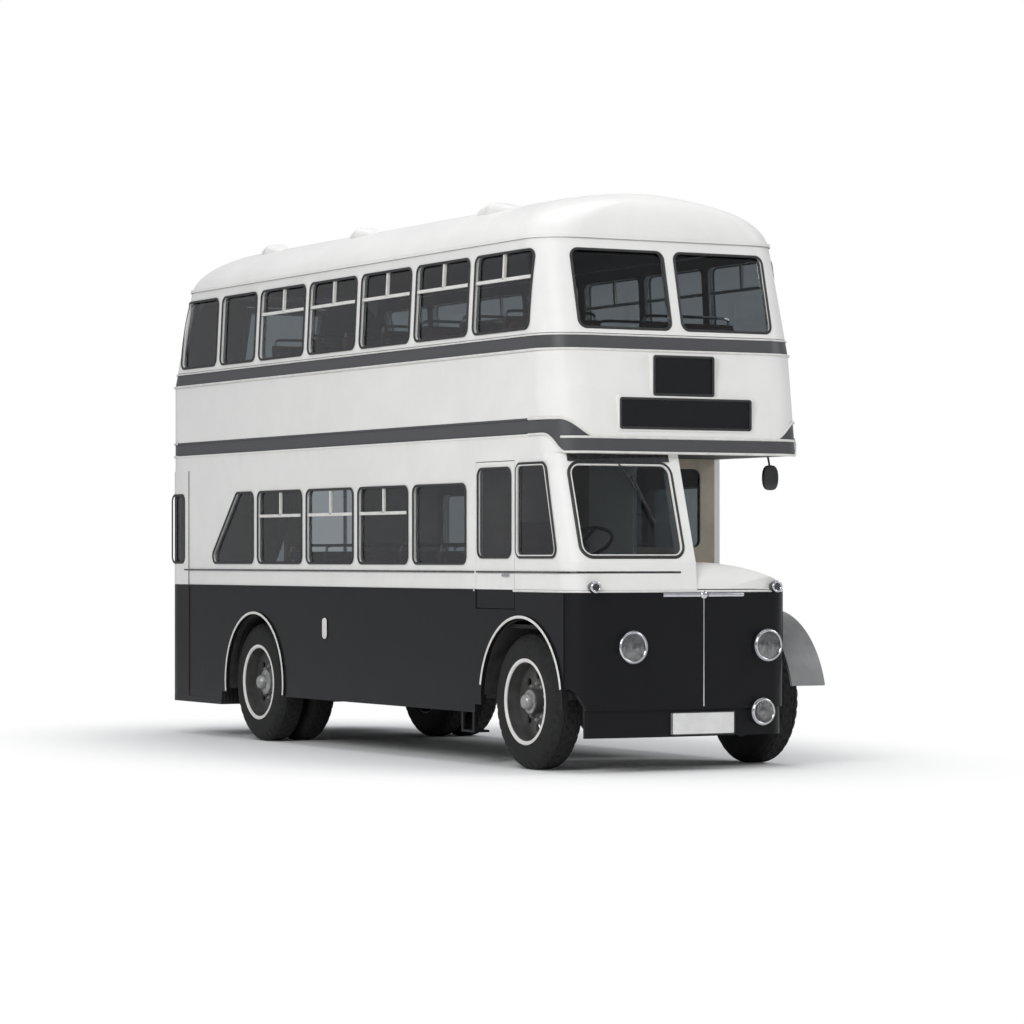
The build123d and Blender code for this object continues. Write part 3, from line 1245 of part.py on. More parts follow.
with BuildPart() as driver_seat:
    for rear, fore, half, foot, top in DRIVER_BLOCKS:
        slab(
            DOOR_X + rear, DOOR_X + fore, DRIVER_Y - half, DRIVER_Y + half,
            CAB_FLOOR_Z + foot, CAB_FLOOR_Z + top,
        )
finish(driver_seat, "driver_seat")

# The steering wheel on its column
with BuildPart() as steering_wheel:
    bar(COLUMN_FOOT, COLUMN_TOP, COLUMN_RADIUS)
    slab(
        COLUMN_FOOT[0] - COLUMN_PLATE_HALF, COLUMN_FOOT[0] + COLUMN_PLATE_HALF,
        DRIVER_Y - COLUMN_PLATE_HALF, DRIVER_Y + COLUMN_PLATE_HALF,
        CAB_FLOOR_Z, CAB_FLOOR_Z + COLUMN_PLATE_THICK,
    )
    column = Plane(origin=COLUMN_TOP, z_dir=Vector(*COLUMN_TOP) - Vector(*COLUMN_FOOT))
    with Locations(column.location):
        Torus(STEERING_RADIUS, STEERING_RIM_RADIUS)
        Cylinder(STEERING_HUB_RADIUS, STEERING_HUB_DEPTH)
        Box(2 * STEERING_RADIUS, SPOKE_WIDTH, SPOKE_THICK)
finish(steering_wheel, "steering_wheel")

# Fixed glass: the windscreen and the upper deck's panes follow their walls, the others are flat
with BuildPart() as screen_pane:
    loft(cab_sections(GLASS_INSET), ruled=True)
    loft(cab_sections(GLASS_INSET + GLASS_THICK), ruled=True, mode=Mode.SUBTRACT)
    extrude(windscreen, amount=LENGTH, mode=Mode.INTERSECT)
# columns: outline, place
flat_panes = [
    (slanted_window, (0, -HALF_WIDTH + GLASS_INSET, 0)),
    (quarter_window, (0, -HALF_WIDTH + GLASS_INSET, 0)),
    (quarter_window, (0, CAB_SIDE_Y - CAB_WALL / 2, 0)),
    (strip_window, (0, -HALF_WIDTH + GLASS_INSET, 0)),
    (platform_window, (0, HALF_WIDTH - GLASS_INSET, 0)),
    (rear_window, (REAR_X + GLASS_INSET, 0, 0)),
    (bulkhead_window, (BULKHEAD_X - WALL / 2, 0, 0)),
]
for outline in lower_side_windows:
    flat_panes.append((outline, (0, -HALF_WIDTH + GLASS_INSET, 0)))
    flat_panes.append((outline, (0, HALF_WIDTH - GLASS_INSET, 0)))
with BuildPart() as window_glass:
    for outline in upper_side_windows:
        extrude(outline, amount=HALF_WIDTH + CUT_OVERRUN, both=True)
    for outline in upper_front_windows:
        extrude(outline, amount=LENGTH)
    add(upper_pane.part, mode=Mode.INTERSECT)
    add(screen_pane.part)
    for outline, place in flat_panes:
        with Locations(place):
            add(extrude(outline, amount=GLASS_THICK / 2, both=True, mode=Mode.PRIVATE))
finish(window_glass, "window_glass")

# Knuckles: two ears on the kingpin, a yoke outboard of them, and the stub axle
for side, name in ((-1, "offside_knuckle"), (1, "nearside_knuckle")):
    reach = EYE_HALF + EAR_GAP + EAR_DEPTH
    inner = side * (KINGPIN_Y + KINGPIN_RADIUS + SHUT_GAP)
    outer = side * (KINGPIN_Y + KINGPIN_RADIUS + YOKE_THICK)
    with BuildPart() as knuckle:
        y0, y1 = sorted((inner, outer))
        x0, x1 = FRONT_AXLE_X - EAR_RADIUS, FRONT_AXLE_X + EAR_RADIUS
        slab(x0, x1, y0, y1, TYRE_RADIUS - reach, TYRE_RADIUS + reach)
        y0, y1 = sorted((side * KINGPIN_Y, outer))
        for up in (-1, 1):
            with Locations((FRONT_AXLE_X, side * KINGPIN_Y, TYRE_RADIUS + up * (reach - EAR_DEPTH / 2))):
                Cylinder(EAR_RADIUS, EAR_DEPTH)
            z0, z1 = sorted((TYRE_RADIUS + up * (reach - EAR_DEPTH), TYRE_RADIUS + up * reach))
            slab(x0, x1, y0, y1, z0, z1)
        with Locations((FRONT_AXLE_X, side * KINGPIN_Y, TYRE_RADIUS)):
            Cylinder(PIN_RADIUS + RUNNING_CLEARANCE, 4 * reach, mode=Mode.SUBTRACT)
        stub_end = side * (WHEEL_CENTRE_Y + HUB_LENGTH / 2)
        bar((FRONT_AXLE_X, inner, TYRE_RADIUS), (FRONT_AXLE_X, stub_end, TYRE_RADIUS), STUB_RADIUS)
    finish(knuckle, name)

# Wheels and tyres: single in front, twin behind, each on the end of its axle
# columns: end, axle, middle of the wheel, hub length, discs' places from that middle
WHEEL_SETS = (
    ("front", FRONT_AXLE_X, WHEEL_CENTRE_Y, HUB_LENGTH, (0,)),
    ("rear", REAR_AXLE_X, REAR_WHEEL_Y, TWIN_PITCH, (-TWIN_PITCH / 2, TWIN_PITCH / 2)),
)
for end, x, centre, hub_length, offsets in WHEEL_SETS:
    for side, side_name in ((-1, "offside"), (1, "nearside")):
        with BuildPart() as wheel:
            for offset in offsets:
                with Locations(Location((x, side * centre + offset, TYRE_RADIUS), (90, 0, 0))):
                    Cylinder(RIM_RADIUS, RIM_WIDTH)
                    Cylinder(RIM_RADIUS - RIM_WALL, RIM_WIDTH, mode=Mode.SUBTRACT)
                    Cylinder(RIM_RADIUS, DISC_THICK)
                    with PolarLocations(DISC_HOLE_PLACE, DISC_HOLES):
                        Cylinder(DISC_HOLE_RADIUS, RIM_WIDTH, mode=Mode.SUBTRACT)
            with Locations(Location((x, side * centre, TYRE_RADIUS), (90, 0, 0))):
                Cylinder(HUB_RADIUS, hub_length)
                Cylinder(STUB_RADIUS + RUNNING_CLEARANCE, 2 * TYRE_WIDTH, mode=Mode.SUBTRACT)
        finish(wheel, f"{side_name}_{end}_wheel")
        with BuildPart() as tyre:
            for offset in offsets:
                with Locations(Location((x, side * centre + offset, TYRE_RADIUS), (90, 0, 0))):
                    Cylinder(TYRE_RADIUS, TYRE_WIDTH)
            fillet(tyre.edges().filter_by(GeomType.CIRCLE), TYRE_SHOULDER)
            for offset in offsets:
                with Locations(Location((x, side * centre + offset, TYRE_RADIUS), (90, 0, 0))):
                    Cylinder(RIM_RADIUS, 2 * TYRE_WIDTH, mode=Mode.SUBTRACT)
        finish(tyre, f"{side_name}_{end}_tyre")
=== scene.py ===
"""The looks of a half-cab double decker bus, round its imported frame.

Everything is in metres, in the frame's own axes: +X forward, +Y to the nearside, +Z up. The body's skin is
worked out from a few plan outlines, and trim, window rubbers and lamps are carried over that skin.
"""

import json

import bmesh
import bpy
import numpy as np
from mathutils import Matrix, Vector


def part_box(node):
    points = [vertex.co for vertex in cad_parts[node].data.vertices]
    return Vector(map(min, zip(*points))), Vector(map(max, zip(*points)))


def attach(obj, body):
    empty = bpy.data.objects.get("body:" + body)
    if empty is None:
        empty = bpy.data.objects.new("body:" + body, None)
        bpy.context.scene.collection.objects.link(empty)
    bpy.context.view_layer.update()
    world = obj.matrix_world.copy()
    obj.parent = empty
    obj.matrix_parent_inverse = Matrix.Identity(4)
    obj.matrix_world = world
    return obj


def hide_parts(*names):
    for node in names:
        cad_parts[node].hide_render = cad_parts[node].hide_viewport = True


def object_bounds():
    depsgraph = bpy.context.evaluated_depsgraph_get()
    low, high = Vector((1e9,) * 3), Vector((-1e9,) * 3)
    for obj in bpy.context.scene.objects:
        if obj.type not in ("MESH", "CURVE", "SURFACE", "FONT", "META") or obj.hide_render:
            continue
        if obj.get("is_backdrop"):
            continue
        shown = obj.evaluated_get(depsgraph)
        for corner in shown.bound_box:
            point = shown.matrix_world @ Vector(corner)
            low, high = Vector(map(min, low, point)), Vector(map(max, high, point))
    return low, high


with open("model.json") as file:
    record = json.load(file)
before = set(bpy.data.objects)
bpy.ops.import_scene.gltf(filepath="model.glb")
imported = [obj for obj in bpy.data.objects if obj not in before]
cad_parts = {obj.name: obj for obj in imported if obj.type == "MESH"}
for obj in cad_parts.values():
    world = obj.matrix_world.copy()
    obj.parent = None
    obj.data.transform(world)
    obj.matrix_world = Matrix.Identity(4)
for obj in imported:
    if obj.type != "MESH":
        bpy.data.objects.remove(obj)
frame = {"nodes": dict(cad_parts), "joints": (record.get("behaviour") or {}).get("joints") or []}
cad_low, cad_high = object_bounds()
scene = bpy.context.scene
joints = {joint["name"]: joint for joint in frame["joints"]}

# The main sizes, from the frame
AXLE_X, _, TYRE_RADIUS = joints["offside_steering"]["pos_m"]
REAR_AXLE_X = joints["offside_rear_spin"]["pos_m"][0]
WHEEL_Y = joints["nearside_front_spin"]["pos_m"][1]
REAR_WHEEL_Y = joints["nearside_rear_spin"]["pos_m"][1]
HALF = -float(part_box("cab_shell")[0].y)
REAR_X = float(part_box("lower_rear")[0].x)
BULKHEAD_X = float(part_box("lower_side_nearside")[1].x)
NOSE_X = float(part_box("front_panel")[1].x)
ROOF_TOP = float(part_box("roof")[1].z)
LAMP_X = float(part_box("lamps")[1].x)
NOSE_SIDE_Y = float(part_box("bonnet_side")[1].y)

# Levels over the ground
FLOOR = 0.74
RISE = ROOF_TOP - FLOOR


def level(share):
    """A height over the ground, as a share of the rise from the saloon floor to the roof's top."""
    return FLOOR + RISE * share


LOWER_BEAD = level(0.1702)
NOSE_TOP = level(0.1729)
CAB_WAIST = level(0.2287)
SCREEN_SILL = level(0.2394)
SCREEN_HEAD = level(0.4309)
LOWER_SILL = level(0.2261)
LOWER_HEAD = level(0.3936)
DECK_EDGE = level(0.4521)
UPPER_FLOOR = level(0.4867)
BAND_LOW = level(0.4894)
BAND_HIGH = level(0.5213)
WAIST = level(0.6622)
UPPER_SILL = level(0.7074)
UPPER_HEAD = level(0.8697)
GUTTER = level(0.8936)

# Heights of the dark stripe over the waist and of the front's band, and how far the sides' band drops to it
WAIST_STRIPE = 0.115
FRONT_STRIPE = 0.115
BAND_DROP = BAND_LOW - DECK_EDGE

# The distances from the middle over which the band's lower and its upper line rise to the sides' level
LOW_LINE, HIGH_LINE = (1.04, 1.134), (0.80, 1.06)

# Plan of the upper deck at three levels: height, front x, rear x, half width
UPPER_PLAN = np.array([[DECK_EDGE, AXLE_X + 0.600, REAR_X, HALF],
                       [WAIST, AXLE_X + 0.490, REAR_X, HALF],
                       [GUTTER, AXLE_X + 0.280, REAR_X + 0.290, HALF - 0.045]])
CORNER = 0.32

# Window bays along the sides, and the lengths behind the rear axle
BAYS = 6.04
FIRST_PILLAR = 0.195
PILLAR = 0.10
BAY = (BULKHEAD_X - FIRST_PILLAR / 2 - REAR_X) / BAYS
WINDOW_RADIUS = 0.06
REAR_OVERHANG = 2.09
AXLE_TO_PLATFORM = 0.76
PLATFORM_X = REAR_X + REAR_OVERHANG - AXLE_TO_PLATFORM

# Plan of the nose: a shallow bow between two rounded corners
NOSE_BOW = 0.075
NOSE_CORNER = 0.19
NOSE_MID = (NOSE_SIDE_Y - HALF) / 2
NOSE_HALF = (NOSE_SIDE_Y + HALF) / 2
BOW_RADIUS = (NOSE_HALF**2 + NOSE_BOW**2) / (2 * NOSE_BOW)


# Materials

WHITE = (0.79, 0.785, 0.76)
GREY = (0.080, 0.082, 0.085)
BLACK = (0.010, 0.010, 0.011)
LINING = (0.055, 0.040, 0.030)


def fill(socket, value):
    """Sets a node's input, or links it where the value is another node's output."""
    if isinstance(value, bpy.types.NodeSocket):
        socket.id_data.links.new(value, socket)
    else:
        socket.default_value = value


def set_up(node, **values):
    """Sets a node's properties and fills its inputs, all by name."""
    for key, value in values.items():
        if hasattr(node, key):
            setattr(node, key, value)
        else:
            fill(node.inputs[key.replace("_", " ")], value)


def add_node(nodes, kind, out, *sources, **values):
    """A new node's output. The sources fill its first inputs in their order, and the values go in by name."""
    node = nodes.new(kind)
    set_up(node, **values)
    for socket, source in zip(node.inputs, sources):
        fill(socket, source)
    return node.outputs[out]


def new_material(name):
    """An empty node material with one Principled shader, and the outputs that hold its object's own place."""
    material = bpy.data.materials.new(name)
    material.use_nodes = True
    nodes = material.node_tree.nodes
    return material, nodes, nodes["Principled BSDF"], nodes.new("ShaderNodeTexCoord").outputs


def noise(nodes, place, scale, detail, **values):
    """A noise over the object's own place."""
    return add_node(nodes, "ShaderNodeTexNoise", "Fac", place["Object"], Scale=scale, Detail=detail, **values)


def bands(nodes, place, scale, **values):
    """Bands along the bus, by a wave over Y."""
    return add_node(nodes, "ShaderNodeTexWave", "Fac", place["Object"], bands_direction="Y", Scale=scale,
                    **values)


def mapped(nodes, source, **values):
    """A number carried from one range over to another."""
    return add_node(nodes, "ShaderNodeMapRange", "Result", source, **values)


def maths(nodes, operation, *sources):
    """One operation on numbers."""
    return add_node(nodes, "ShaderNodeMath", 0, *sources, operation=operation)


def on_vectors(nodes, operation, out, *sources):
    """One operation on vectors."""
    return add_node(nodes, "ShaderNodeVectorMath", out, *sources, operation=operation)


def mixed(nodes, blend, factor, first, second):
    """Two colours in one, by a blend and a factor."""
    return add_node(nodes, "ShaderNodeMix", "Result", data_type="RGBA", blend_type=blend, Factor=factor,
                    A=first, B=second)


def part_of(nodes, source, axis):
    """A vector's part along one axis."""
    return add_node(nodes, "ShaderNodeSeparateXYZ", axis, source)


def bumped(nodes, height, strength, distance):
    """The normal that a texture's output gives as a bump."""
    return add_node(nodes, "ShaderNodeBump", "Normal", Strength=strength, Distance=distance, Height=height)


def two_colours(nodes, source, low, high, dark, light):
    """A ramp from one colour to another between two values of its source."""
    ramp = nodes.new("ShaderNodeValToRGB")
    for spot, place, colour in zip(ramp.color_ramp.elements, (low, high), (dark, light)):
        spot.position = place
        spot.color = (*colour, 1)
    fill(ramp.inputs["Fac"], source)
    return ramp.outputs["Color"]


def stripes(nodes, source, steps):
    """A ramp that steps from colour to colour with height. steps holds (lowest height, colour) pairs."""
    ramp = nodes.new("ShaderNodeValToRGB")
    ramp.color_ramp.interpolation = "CONSTANT"
    spots = ramp.color_ramp.elements
    spots.remove(spots[1])
    for number, (low, colour) in enumerate(steps):
        spot = spots[0] if number == 0 else spots.new(low / ROOF_TOP)
        spot.position = low / ROOF_TOP
        spot.color = (*colour, 1)
    fill(ramp.inputs["Fac"], source)
    return ramp.outputs["Color"]


def varied(name, dark, light, rough=(0.3, 0.5), scale=6.0, metal=0.0, coat=0.0, bump=0.0, bump_scale=60.0,
           gloss=0.5):
    """A finish whose colour and roughness drift between two values by noise, with finer noise as its bump."""
    material, nodes, shader, place = new_material(name)
    drift = noise(nodes, place, scale, 6.0, Roughness=0.6)
    set_up(shader, Base_Color=two_colours(nodes, drift, 0.35, 0.65, dark, light),
           Roughness=mapped(nodes, drift, To_Min=rough[0], To_Max=rough[1]),
           Metallic=metal, Coat_Weight=coat, Coat_Roughness=0.08, Specular_IOR_Level=gloss)
    if bump:
        fine = noise(nodes, place, bump_scale, 4.0)
        set_up(shader, Normal=bumped(nodes, fine, bump, 0.001))
    return material


def coach_paint(name, steps, inward, limit, dropped=None):
    """Coach paint in level stripes outside, and a dark lining inside.

    A face is inside where its normal, dotted with its place times the inward weights, falls under the limit.
    Noise dulls the gloss and dirties the colour a little. dropped holds the lower and the upper line of the
    front's band, as (distance from the middle where it starts to rise, where it ends, its two colours). Each
    is read at the height less its rise, which grows by a smooth step, and what is dark in both is the band.
    """
    material, nodes, shader, place = new_material(name)
    height = mapped(nodes, part_of(nodes, place["Object"], "Z"), From_Max=ROOF_TOP)
    painted = stripes(nodes, height, steps)
    if dropped:
        aside = maths(nodes, "ABSOLUTE", part_of(nodes, place["Object"], "Y"))
        lines = []
        for starts, ends, line_steps in dropped:
            rise = mapped(nodes, aside, interpolation_type="SMOOTHSTEP", From_Min=starts, From_Max=ends,
                          To_Max=BAND_DROP / ROOF_TOP)
            lines.append(stripes(nodes, maths(nodes, "SUBTRACT", height, rise), line_steps))
        band = mixed(nodes, "LIGHTEN", 1.0, *lines)
        painted = mixed(nodes, "DARKEN", 1.0, painted, band)
    dirt = noise(nodes, place, 2.2, 8.0, Roughness=0.65)
    soft = mapped(nodes, dirt, From_Min=0.3, From_Max=0.75, To_Min=0.92, To_Max=1.0)
    worn = mixed(nodes, "MULTIPLY", 1.0, painted, soft)
    weighted = on_vectors(nodes, "MULTIPLY", "Vector", place["Object"], inward)
    facing = on_vectors(nodes, "DOT_PRODUCT", "Value", weighted, place["Normal"])
    cloth = two_colours(nodes, dirt, 0.3, 0.7, LINING, tuple(1.6 * c for c in LINING))
    set_up(shader, Base_Color=mixed(nodes, "MIX", maths(nodes, "LESS_THAN", facing, limit), worn, cloth),
           Roughness=mapped(nodes, dirt, To_Min=0.22, To_Max=0.42), Specular_IOR_Level=0.13,
           Normal=bumped(nodes, noise(nodes, place, 9.0, 3.0), 0.05, 0.004))
    return material


def slatted_floor():
    """Worn floor boards with raised wooden slats along the bus, by a wave over Y, on faces that look up.

    Every other face of a floor is black.
    """
    material, nodes, shader, place = new_material("floor_boards")
    slats = bands(nodes, place, 9.0, Distortion=0.3, Detail=2.0)
    boards = two_colours(nodes, slats, 0.2, 0.5, (0.05, 0.036, 0.026), (0.16, 0.12, 0.08))
    above = maths(nodes, "GREATER_THAN", part_of(nodes, place["Normal"], "Z"), 0.5)
    set_up(shader, Base_Color=mixed(nodes, "MIX", above, (*BLACK, 1), boards), Roughness=0.6,
           Normal=bumped(nodes, slats, 0.5, 0.004))
    return material


def pane_glass(name, tint, rough, flutes=0.0):
    """Window or lens glass, lightly uneven in its roughness, with any upright flutes by a wave over Y."""
    material, nodes, shader, place = new_material(name)
    uneven = mapped(nodes, noise(nodes, place, 3.0, 3.0), To_Min=rough, To_Max=rough * 3)
    set_up(shader, Base_Color=(*tint, 1), Transmission_Weight=1.0, IOR=1.33, Roughness=uneven)
    if flutes:
        set_up(shader, Normal=bumped(nodes, bands(nodes, place, 14.0), flutes, 0.004))
    return material


def seat_hide():
    """Seat leather: a grain of fine cells in its bump, and a colour that drifts."""
    material, nodes, shader, place = new_material("seat_leather")
    cells = add_node(nodes, "ShaderNodeTexVoronoi", "Distance", place["Object"], Scale=160.0)
    drift = noise(nodes, place, 4.0, 5.0)
    hide = two_colours(nodes, drift, 0.3, 0.7, (0.07, 0.022, 0.014), (0.15, 0.05, 0.03))
    set_up(shader, Base_Color=hide, Roughness=0.45, Normal=bumped(nodes, cells, 0.35, 0.001))
    return material


def grey(value):
    """A plain grey."""
    return (value, value, value)


side_steps = [(0.0, BLACK), (LOWER_BEAD, WHITE), (BAND_LOW, GREY), (BAND_HIGH, WHITE), (WAIST, GREY),
              (WAIST + WAIST_STRIPE, WHITE)]
front_steps = [(0.0, WHITE), (WAIST, GREY), (WAIST + WAIST_STRIPE, WHITE)]
front_band = [(*LOW_LINE, [(0.0, WHITE), (DECK_EDGE - 0.002, GREY)]),
              (*HIGH_LINE, [(0.0, GREY), (DECK_EDGE + FRONT_STRIPE, WHITE)])]
side_paint = coach_paint("side_coach_paint", side_steps, (0, 1, 0), -0.5)
end_paint = coach_paint("end_coach_paint", side_steps, (1, 1, 0), -1.0)
front_paint = coach_paint("front_coach_paint", front_steps, (1, 1, 0), -1.0, front_band)
roof_paint = coach_paint("roof_coach_paint", [(0.0, WHITE)], (0, 0, 1), -1.0)
black_paint = coach_paint("black_coach_paint", [(0.0, BLACK)], (1, 1, 0), -1.0)
lamp_black = varied("lamp_black_paint", BLACK, (0.02, 0.02, 0.021), (0.2, 0.35), 12, coat=0.4)
bright_paint = varied("bright_trim_paint", (0.62, 0.61, 0.58), (0.72, 0.71, 0.68), (0.3, 0.42), 12)
chassis_paint = varied("chassis_paint", grey(0.015), (0.035, 0.035, 0.034), (0.45, 0.7), 8, bump=0.3)
engine_paint = varied("engine_paint", (0.10, 0.11, 0.11), (0.16, 0.17, 0.17), (0.4, 0.65), 7, bump=0.4)
spring_steel = varied("spring_steel", (0.05, 0.045, 0.04), (0.1, 0.095, 0.09), (0.4, 0.6), 20, metal=0.6,
                      bump=0.4)
chrome = varied("chrome_plate", (0.55, 0.56, 0.58), (0.66, 0.67, 0.69), (0.06, 0.16), 14, metal=1.0)
rubber = varied("tyre_rubber", grey(0.006), (0.016, 0.016, 0.0155), (0.6, 0.85), 24, bump=0.5, bump_scale=180,
                gloss=0.3)
gasket = varied("window_rubber", grey(0.010), grey(0.025), (0.45, 0.65), 40, bump=0.2)
wheel_paint = varied("wheel_paint", (0.045, 0.045, 0.044), (0.075, 0.075, 0.072), (0.35, 0.55), 9, bump=0.2)
steel_grey = varied("hub_steel", (0.24, 0.24, 0.235), (0.38, 0.38, 0.37), (0.3, 0.45), 30, metal=0.5,
                    bump=0.2)
dark_plastic = varied("dark_ebonite", grey(0.012), grey(0.03), (0.25, 0.4), 12)
plate_white = varied("plate_enamel", (0.66, 0.66, 0.64), (0.74, 0.74, 0.72), (0.25, 0.35), 9)
blind_cloth = varied("blind_cloth", BLACK, grey(0.022), (0.5, 0.7), 60, bump=0.3, bump_scale=400)
lining = varied("saloon_lining", (0.30, 0.27, 0.21), (0.38, 0.34, 0.27), (0.45, 0.6), 5, bump=0.15)
floor_boards = slatted_floor()
# The window glass's grey tint is a painted shade: it darkens what shows through the windows, standing in for
# the dim saloon behind them.
window_pane = pane_glass("window_pane", (0.44, 0.47, 0.48), 0.01)
lamp_lens = pane_glass("lamp_lens", (0.95, 0.95, 0.93), 0.04)
fluted_lens = pane_glass("fluted_lens", (0.80, 0.80, 0.78), 0.03, flutes=0.6)
reflector = varied("lamp_reflector", (0.14, 0.14, 0.145), (0.36, 0.36, 0.37), (0.12, 0.25), 26, metal=1.0)
wing_paint = varied("wing_paint", (0.17, 0.17, 0.172), (0.21, 0.21, 0.212), (0.2, 0.3), 5, coat=0.3)
red_lens = pane_glass("red_lens", (0.6, 0.02, 0.015), 0.08)
seat_leather = seat_hide()

SIDES = ("offside", "nearside")
WHEELS = [f"{side}_{end}" for side in SIDES for end in ("front", "rear")]
finishes = {
    side_paint: ("lower_side_offside", "lower_side_nearside", "upper_side_offside", "upper_side_nearside",
                 "cab_door"),
    end_paint: ("lower_rear", "upper_rear", "emergency_window", "cab_shell", "bonnet_lid"),
    front_paint: ("upper_front",),
    roof_paint: ("roof", "roof_vents"),
    black_paint: ("cab_base", "front_panel", "bonnet_side"),
    wing_paint: ("nearside_wing",),
    chassis_paint: ("chassis_frame", "front_axle", "rear_axle", "fuel_tank", "offside_knuckle",
                    "nearside_knuckle", "staircase"),
    engine_paint: ("engine", "gearbox"),
    spring_steel: ("leaf_springs",),
    chrome: ("grab_poles", "lamps"),
    rubber: [f"{wheel}_tyre" for wheel in WHEELS],
    wheel_paint: [f"{wheel}_wheel" for wheel in WHEELS],
    floor_boards: ("lower_floor", "rear_platform", "upper_floor"),
    lining: ("saloon_bulkheads",),
    seat_leather: ("passenger_seats", "driver_seat"),
    dark_plastic: ("steering_wheel",),
    window_pane: ("window_glass",),
}
for material, names in finishes.items():
    for name in names:
        mesh = frame["nodes"][name].data
        mesh.materials.clear()
        mesh.materials.append(material)


# Surfaces


def add_piece(name, parts, material, body="bus", smooth=True):
    """One mesh object from (points, faces) parts, its closed shells turned outwards, riding on one body."""
    points, faces, start = [], [], 0
    for some_points, some_faces in parts:
        points.append(np.asarray(some_points, float).reshape(-1, 3))
        faces += [tuple(int(i) + start for i in face) for face in some_faces]
        start += len(points[-1])
    mesh = bpy.data.meshes.new(name)
    mesh.from_pydata(np.concatenate(points).tolist(), [], faces)
    shell = bmesh.new()
    shell.from_mesh(mesh)
    bmesh.ops.recalc_face_normals(shell, faces=shell.faces)
    shell.to_mesh(mesh)
    shell.free()
    mesh.polygons.foreach_set("use_smooth", np.full(len(mesh.polygons), smooth))
    if smooth:
        mesh.set_sharp_from_angle(angle=np.radians(38))
    mesh.materials.append(material)
    obj = bpy.data.objects.new(name, mesh)
    scene.collection.objects.link(obj)
    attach(obj, body)
    return obj


def capped(points, closed_rows=False):
    """A grid whose columns wrap round, as a closed tube of quads between neighbours.

    Its end rows are filled unless its rows wrap too.
    """
    rows, cols = points.shape[:2]
    r, c = np.meshgrid(np.arange(rows if closed_rows else rows - 1), np.arange(cols), indexing="ij")
    r2, c2 = (r + 1) % rows, (c + 1) % cols
    quads = np.stack([r * cols + c, r * cols + c2, r2 * cols + c2, r2 * cols + c], -1).reshape(-1, 4)
    faces = [tuple(quad) for quad in quads]
    if not closed_rows:
        faces += [tuple(range(cols))[::-1], tuple(range((rows - 1) * cols, rows * cols))]
    return points.reshape(-1, 3), faces


def as_points(*axes):
    """Points from their coordinates, each an array or one number for all."""
    return np.stack(np.broadcast_arrays(*axes), -1)


def full_turn(steps):
    """Angles round a circle, the first not repeated at the end."""
    return np.linspace(0, 2 * np.pi, steps, endpoint=False)


def unit(v):
    """Vectors scaled to length one."""
    return v / np.maximum(np.linalg.norm(v, axis=-1, keepdims=True), 1e-12)


def carried(path, normals, profile, closed=False):
    """A closed profile carried along a path: point = path + across * side + up * normal.

    side is the path's direction crossed with the normal, and profile holds (across, up) pairs.
    """
    path = np.asarray(path, float)
    normals = unit(np.broadcast_to(np.asarray(normals, float), path.shape))
    steps = np.roll(path, -1, 0) - np.roll(path, 1, 0) if closed else np.gradient(path, axis=0)
    side = unit(np.cross(unit(steps), normals))
    profile = np.asarray(profile, float)
    points = path[:, None] + profile[None, :, :1] * side[:, None] + profile[None, :, 1:] * normals[:, None]
    return capped(points, closed)


def half_round(width, height, steps=7, sunk=0.002):
    """A bead's section: half an ellipse, standing on a flat that is sunk a little into the skin."""
    a = np.linspace(0, np.pi, steps)
    arc = np.stack([np.cos(a) * width / 2, np.sin(a) * height], -1)
    return np.concatenate([arc, [[-width / 2, -sunk], [width / 2, -sunk]]])


def circle(radius, steps=12):
    """A round section."""
    a = full_turn(steps)
    return np.stack([np.cos(a), np.sin(a)], -1) * radius


def flat_bar(width, low, high):
    """A square section between two heights."""
    return np.array([[width / 2, low], [width / 2, high], [-width / 2, high], [-width / 2, low]])


def rounded_polygon(corners, radius=WINDOW_RADIUS, arc_steps=8, edge_steps=8):
    """Points round a polygon whose corners are arcs of one radius, with points along its sides too.

    Each corner's arc is centred on its bisector, at the radius over the sine of half its angle.
    """
    corners = np.asarray(corners, float)
    before, after = unit(np.roll(corners, 1, 0) - corners), unit(np.roll(corners, -1, 0) - corners)
    half = np.arccos(np.clip((before * after).sum(1), -1, 1)) / 2
    centre = corners + unit(before + after) * (radius / np.sin(half))[:, None]
    first = corners + before * (radius / np.tan(half))[:, None]
    last = corners + after * (radius / np.tan(half))[:, None]
    runs = []
    share = np.linspace(0, 1, arc_steps)[:, None]
    edge = np.linspace(0, 1, edge_steps + 2)[1:-1, None]
    for n in range(len(corners)):
        spread = unit(first[n] - centre[n]) * (1 - share) + unit(last[n] - centre[n]) * share
        runs.append(centre[n] + unit(spread) * radius)
        runs.append(last[n] * (1 - edge) + first[(n + 1) % len(corners)] * edge)
    return np.concatenate(runs)


def rounded_rect(x0, x1, z0, z1, radius=WINDOW_RADIUS):
    """Points round a rectangle with rounded corners."""
    return rounded_polygon([(x0, z0), (x1, z0), (x1, z1), (x0, z1)], radius)


def revolved(profile, centre, axis, steps=48, closed=False):
    """A profile of (radius, along) pairs turned about an axis through a centre."""
    profile = np.asarray(profile, float)
    axis = unit(np.asarray(axis, float))
    first = unit(np.cross(axis, [0.3, 0.2, 1.0]))
    second = np.cross(axis, first)
    a = full_turn(steps)
    spoke = np.cos(a)[None, :, None] * first + np.sin(a)[None, :, None] * second
    points = np.asarray(centre, float) + profile[:, None, 1:] * axis + profile[:, None, :1] * spoke
    return capped(points, closed)


